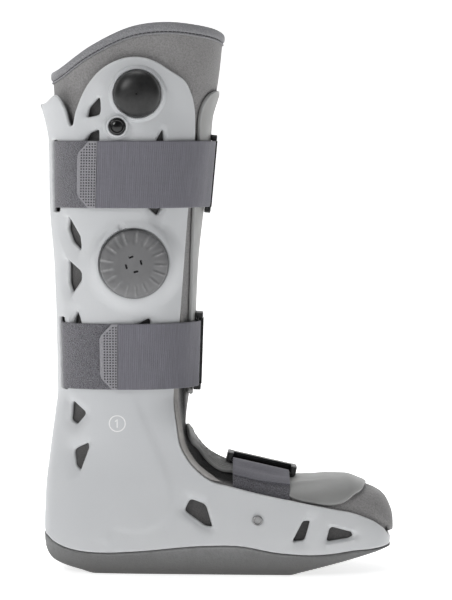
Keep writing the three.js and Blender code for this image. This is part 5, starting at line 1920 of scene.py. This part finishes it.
def lathe(name, node, profile, place, face, material, body="boot", count=96, mirror=1, smooth_angle=40):
    """A piece of revolution about Y. The profile is radius and distance out of the lateral side."""
    turn = np.linspace(0, math.tau, count, endpoint=False)
    rings = []
    for radius, out in profile:
        rings.append(np.stack([place[0] + radius * np.cos(turn), np.full(count, face - out) * mirror,
                               place[1] + radius * np.sin(turn)], axis=1))
    points, faces = closed_loft(rings)
    made = new_piece(name, points, faces, [material], body=body, replaces=[node],
                     smooth_angle=smooth_angle)
    weld(made, 0.001)
    finish_mesh(made, smooth_angle)
    return made


def make_bulb():
    radius = BULB_DIAMETER / 2
    profile = [(radius - 1.2, 0), (radius - 0.3, 0.1), (radius, 0.6), (radius, 1.9)]
    for degrees in range(0, 90, 4):
        turn = math.radians(degrees)
        profile.append((radius * math.cos(turn) ** 0.92, BULB_HEIGHT * (0.2 + 0.8 * math.sin(turn))))
    profile = [p for p in profile if p[0] > 1.1]
    profile += [(1.0, BULB_HEIGHT - 0.03), (0.8, BULB_HEIGHT - 0.25), (0.45, BULB_HEIGHT - 0.8),
                (0.1, BULB_HEIGHT - 0.9)]
    return lathe("squeeze_bulb", "pump_bulb", profile, BULB_PLACE, BULB_FACE - CLEARANCE, RUBBER)


def make_button():
    radius = BUTTON_DIAMETER / 2
    face = BUTTON_FACE - COLLAR_HEIGHT - 2 + BUTTON_LENGTH
    profile = [(radius - 0.3, 0), (radius, 0.4), (radius, BUTTON_LENGTH - 2.2), (radius - 0.25, BUTTON_LENGTH - 1.4),
               (radius - 0.9, BUTTON_LENGTH - 0.8), (radius - 1.7, BUTTON_LENGTH - 0.7),
               (radius - 2.2, BUTTON_LENGTH - 1.0), (radius - 2.7, BUTTON_LENGTH - 0.75),
               (radius - 3.8, BUTTON_LENGTH - 0.25), (radius - 5.2, BUTTON_LENGTH - 0.02), (0.15, BUTTON_LENGTH)]
    return lathe("relief_button", "release_button", profile, BUTTON_PLACE, face, GLOSS, body="button",
                 smooth_angle=60)


def make_collar():
    inner = BUTTON_DIAMETER / 2 + CLEARANCE
    height = COLLAR_HEIGHT
    profile = [(inner, 0), (inner + COLLAR_WALL, 0), (inner + COLLAR_WALL, height * 0.5),
               (inner + COLLAR_WALL * 0.9, height * 0.8), (inner + COLLAR_WALL * 0.6, height),
               (inner + COLLAR_WALL * 0.25, height * 0.97), (inner, height * 0.75)]
    count = 72
    turn = np.linspace(0, math.tau, count, endpoint=False)
    rings = np.array([np.stack([BUTTON_PLACE[0] + r * np.cos(turn), np.full(count, BUTTON_FACE - CLEARANCE - out),
                                BUTTON_PLACE[1] + r * np.sin(turn)], axis=1) for r, out in profile])
    faces = grid_faces(len(profile), count, close_rows=True, close_columns=True)
    collar = new_piece("button_ring", rings.reshape(-1, 3), faces, [SHELL], replaces=["button_collar"])
    # The collar gets the shell's painted edge highlight at 0.6 all over.
    set_attribute(collar, "edge", np.full(len(collar.data.vertices), 0.6))
    weld(collar, 0.001)
    return collar


DIAL_SLOTS = [109, 15, -73, 197]
DIAL_SLOT_RADIUS = 5.85


def make_dial():
    """The dial: a low dome with raised ridges in its outer band and four short slots round its middle."""
    radius = DIAL_DIAMETER / 2
    face = DIAL_FACE - CLEARANCE
    spokes = 12 * DIAL_RIDGES
    turn = np.linspace(0, math.tau, spokes, endpoint=False)
    dome = [(0.0, 1.0), (0.3, 1.0), (0.6, 0.985), (0.8, 0.93), (0.92, 0.83), (0.98, 0.7), (1.0, 0.55)]
    share = np.concatenate([np.linspace(0.02, 0.34, 24), np.linspace(0.37, 0.93, 20), [0.95, 0.965, 0.98, 0.99, 1.0]])
    height = DIAL_HEIGHT * np.interp(share, *zip(*dome))
    height = DIAL_HEIGHT * monotone([d[0] for d in dome], [[d[1]] for d in dome], share)[:, 0]
    rings = []
    edges = []
    rough = np.random.default_rng(7).uniform(0.55, 1.0, DIAL_RIDGES)
    slant = np.random.default_rng(11).uniform(-0.15, 0.15, DIAL_RIDGES)
    for s, h in zip(share, height):
        r = s * radius
        out = np.full(spokes, h)
        # How strongly each point lies on a ridge top; the dial's colour lightens there as a painted highlight.
        ridge_highlight = np.zeros(spokes)
        band = float(smoothstep(0.56, 0.72, s))
        for k in range(DIAL_RIDGES):
            centre = math.tau * k / DIAL_RIDGES + slant[k] * 0.4
            gap = (turn - centre + math.pi) % math.tau - math.pi
            arc = gap * max(r, 1.0)
            ridge = np.exp(-((arc / 0.75) ** 2))
            dip = np.exp(-(((arc - 1.7) / 1.3) ** 2))
            out += band * rough[k] * (0.5 * ridge - 0.6 * dip)
            ridge_highlight += band * rough[k] * ridge
        for degrees in DIAL_SLOTS:
            along = math.radians(degrees)
            cx, cy = DIAL_SLOT_RADIUS * math.cos(along), DIAL_SLOT_RADIUS * math.sin(along)
            dx = r * np.cos(turn) - cx
            dy = r * np.sin(turn) - cy
            tangent = dx * -math.sin(along) + dy * math.cos(along)
            radial = dx * math.cos(along) + dy * math.sin(along)
            within = np.minimum(smoothstep(0, 0.35, 1.75 - np.abs(tangent)), smoothstep(0, 0.3, 0.65 - np.abs(radial)))
            out -= 1.6 * within
        rings.append(np.stack([DIAL_PLACE[0] + r * np.cos(turn), face - out, DIAL_PLACE[1] + r * np.sin(turn)], axis=1))
        edges.append(ridge_highlight)
    rim = [(radius, 0.3), (radius - 0.4, 0.0), (radius - 6, 0.0)]
    for r, out in rim:
        rings.append(np.stack([DIAL_PLACE[0] + r * np.cos(turn), np.full(spokes, face - out),
                               DIAL_PLACE[1] + r * np.sin(turn)], axis=1))
        edges.append(np.zeros(spokes))
    points, faces = closed_loft(rings)
    dial = new_piece("pressure_dial", points, faces, [DIAL, BLACK], body="dial", replaces=["selector_dial"])
    set_attribute(dial, "edge", np.concatenate([np.concatenate(edges), [0, 0]]))
    kinds = np.zeros(len(dial.data.polygons), np.int32)
    for k, polygon in enumerate(dial.data.polygons):
        x, _, z = polygon.center / MM
        for degrees in DIAL_SLOTS:
            along = math.radians(degrees)
            dx = x - DIAL_PLACE[0] - DIAL_SLOT_RADIUS * math.cos(along)
            dz = z - DIAL_PLACE[1] - DIAL_SLOT_RADIUS * math.sin(along)
            tangent = dx * -math.sin(along) + dz * math.cos(along)
            radial = dx * math.cos(along) + dz * math.sin(along)
            if abs(tangent) < 1.8 and abs(radial) < 0.68:
                kinds[k] = 1
    dial.data.polygons.foreach_set("material_index", kinds)
    weld(dial, 0.001)
    finish_mesh(dial, 45)
    return dial


def make_rivet(name, node, mirror):
    face = (wall_y(RIVET_PLACE) - CLEARANCE)
    radius = RIVET_HEAD / 2
    profile = [(1.7, -SHELL_WALL - 1), (1.8, 0.0), (radius, 0.0), (radius, 0.7), (radius - 0.3, 1.2), (radius - 0.8, 1.5),
               (radius - 1.3, 1.35), (radius - 1.6, 0.8), (0.9, 0.75), (0.2, 0.8)]
    return lathe(name, node, profile, RIVET_PLACE, face, METAL, mirror=mirror)


# The circled one on the heel


def make_mark():
    """A ring with a plain figure one in it, a thin print on the lateral wall."""
    parts = []
    radius = 6.1
    line = 0.85
    lift = 0.12
    turn = np.linspace(0, math.tau, 64, endpoint=False)
    outlines = [(np.stack([MARK_PLACE[0] + (radius + line / 2) * np.cos(turn),
                           MARK_PLACE[1] + (radius + line / 2) * np.sin(turn)], axis=1),
                 np.stack([MARK_PLACE[0] + (radius - line / 2) * np.cos(turn),
                           MARK_PLACE[1] + (radius - line / 2) * np.sin(turn)], axis=1))]
    for outer, inner in outlines:
        ring = []
        for loop, offset in ((outer, 0.0), (outer, lift), (inner, lift), (inner, 0.0)):
            ring.append(on_side(loop, offset))
        ring = np.array(ring)
        parts.append((ring.reshape(-1, 3), grid_faces(4, len(turn), close_rows=True, close_columns=True)))
    stroke = np.array([(-0.5, -3.3), (0.5, -3.3), (0.5, 3.3), (-0.25, 3.3), (-1.7, 2.0), (-1.7, 1.1), (-0.5, 1.9)])
    stroke = stroke + MARK_PLACE
    low = on_side(stroke, 0.0)
    high = on_side(stroke, lift)
    count = len(stroke)
    faces = [tuple(range(count - 1, -1, -1)), tuple(range(count, 2 * count))]
    faces += [(k, (k + 1) % count, (k + 1) % count + count, k + count) for k in range(count)]
    parts.append((np.vstack([low, high]), faces))
    points, faces = joined(parts)
    mark = new_piece("number_print", points, faces, [MARK])
    weld(mark, 0.0005)
    return mark


def on_side(side, offset):
    """Places in side view laid on the shell's lateral surface."""
    side = np.asarray(side, float)
    arc = OUTER.arc_of(0, side[:, 0], side[:, 1])
    base = OUTER.at(arc, side[:, 1])
    return OUTER.at(arc, side[:, 1], shell_relief(base) + offset)


# The soft lip inside the shell's front edge


def make_lips():
    """A rounded light strip just inside the shell's front edge, from above the ankle strap to the instep."""
    edge = curve_through(SHELL_EDGE[16:27], 1.5)
    edge = edge[(edge[:, 1] < 203) & (edge[:, 0] < 0.36 * TOE_REACH)]
    count = len(edge)
    tangent = np.gradient(edge, axis=0)
    tangent /= np.linalg.norm(tangent, axis=1, keepdims=True)
    forward = np.stack([-tangent[:, 1], tangent[:, 0]], axis=1)
    taper = smoothstep(0, 8, np.arange(count)) * smoothstep(0, 8, count - 1 - np.arange(count))
    rings = []
    for k in range(count):
        ring = []
        for degrees in range(0, 360, 24):
            turn = math.radians(degrees)
            out = 2.3 + 2.2 * math.cos(turn) * taper[k]
            deep = -2.4 + 1.7 * math.sin(turn) * taper[k]
            x, z = edge[k] + forward[k] * out
            arc = OUTER.arc_of(0, np.array([x]), np.array([z]))
            ring.append(OUTER.at(arc, np.array([z]), deep)[0])
        rings.append(ring)
    lateral = closed_loft(rings)
    points, faces = joined([lateral, mirrored(*lateral)])
    lips = new_piece("edge_lips", points, faces, [LIP], smooth_angle=60)
    set_attribute(lips, "edge", np.zeros(len(points)))
    return lips


# Floor, light and camera


def make_stage():
    """A pale floor that curves up into a backdrop."""
    width = 8.0
    profile = [(-6.0, 0.0), (1.2, 0.0)]
    bend = 1.5
    for degrees in range(6, 91, 6):
        turn = math.radians(degrees)
        profile.append((1.2 + bend * math.sin(turn), bend * (1 - math.cos(turn))))
    profile.append((1.2 + bend, 6.0))
    points = [(x, y, z) for y, z in profile for x in (-width, width)]
    faces = [(2 * k, 2 * k + 1, 2 * k + 3, 2 * k + 2) for k in range(len(profile) - 1)]
    mesh = bpy.data.meshes.new("floor")
    mesh.from_pydata(points, [], faces)
    floor = bpy.data.objects.new("floor", mesh)
    bpy.context.scene.collection.objects.link(floor)
    mesh.materials.append(floor_paint())
    mesh.polygons.foreach_set("use_smooth", np.ones(len(mesh.polygons), bool))


def area_light(name, place, aim, size, power, colour=(1, 1, 1)):
    data = bpy.data.lights.new(name, "AREA")
    data.shape = "DISK"
    data.size = size
    data.energy = power
    data.color = colour
    light = bpy.data.objects.new(name, data)
    bpy.context.scene.collection.objects.link(light)
    light.location = place
    light.rotation_mode = "QUATERNION"
    light.rotation_quaternion = (Vector(aim) - Vector(place)).to_track_quat("-Z", "Y")


def make_lights():
    centre = (0.04, 0, 0.2)
    area_light("key", (-1.15, -1.25, 1.35), centre, 0.9, 12, (1.0, 1.0, 1.0))
    area_light("fill", (1.4, -1.6, 0.6), centre, 1.4, 1.2, (0.97, 0.99, 1.0))
    area_light("top", (-0.1, 0.35, 1.9), centre, 1.0, 9)
    area_light("back", (-0.6, 1.5, 1.2), centre, 1.2, 4)
    world = bpy.data.worlds.new("studio")
    world.use_nodes = True
    world.node_tree.nodes["Background"].inputs["Color"].default_value = (0.95, 0.97, 1.0, 1)
    world.node_tree.nodes["Background"].inputs["Strength"].default_value = 0.12
    bpy.context.scene.world = world
    bpy.context.scene.view_settings.view_transform = "Standard"


CAMERA_PLACE = (0.077, -2.045, 0.334)
CAMERA_AIM = (0.077, 0.0, 0.209)
FOCAL_PIXELS = 2626.7
PHOTO_HEIGHT = 600
SENSOR = 36.0


def make_camera():
    data = bpy.data.cameras.new("camera")
    data.sensor_fit = "VERTICAL"
    data.sensor_height = SENSOR
    data.lens = FOCAL_PIXELS / PHOTO_HEIGHT * SENSOR
    camera = bpy.data.objects.new("camera", data)
    bpy.context.scene.collection.objects.link(camera)
    camera.location = CAMERA_PLACE
    camera.rotation_mode = "QUATERNION"
    camera.rotation_quaternion = (Vector(CAMERA_AIM) - Vector(CAMERA_PLACE)).to_track_quat("-Z", "Y")
    bpy.context.scene.camera = camera


def main():
    make_camera()
    make_lights()
    make_stage()
    make_outsole()
    make_shell()
    make_liner()
    make_binding()
    make_shin_panel()
    make_instep_panel()
    upper = LegStrap(UPPER_STRAP_HEIGHT, UPPER_TAB)
    lower = LegStrap(LOWER_STRAP_HEIGHT, LOWER_TAB)
    upper.make("calf_strap", "upper_strap")
    lower.make("ankle_strap", "lower_strap")
    upper.make_tab("calf_tab", "upper_hook_tab")
    lower.make_tab("ankle_tab", "lower_hook_tab")
    leg_ring("calf_ring", "upper_ring", upper, 1.2, 0.0)
    leg_ring("ankle_ring", "lower_ring", lower, 2.2, 1.5)
    make_lips()
    foot_strap("instep_strap", "forefoot_strap", 1, FOOT_TAIL)
    foot_strap("instep_keeper", "forefoot_keeper", -1, KEEPER_TAIL)
    foot_ring()
    make_bulb()
    make_button()
    make_collar()
    make_dial()
    make_rivet("rivet_lateral", "lateral_rivet", 1)
    make_rivet("rivet_medial", "medial_rivet", -1)
    make_mark()


main()
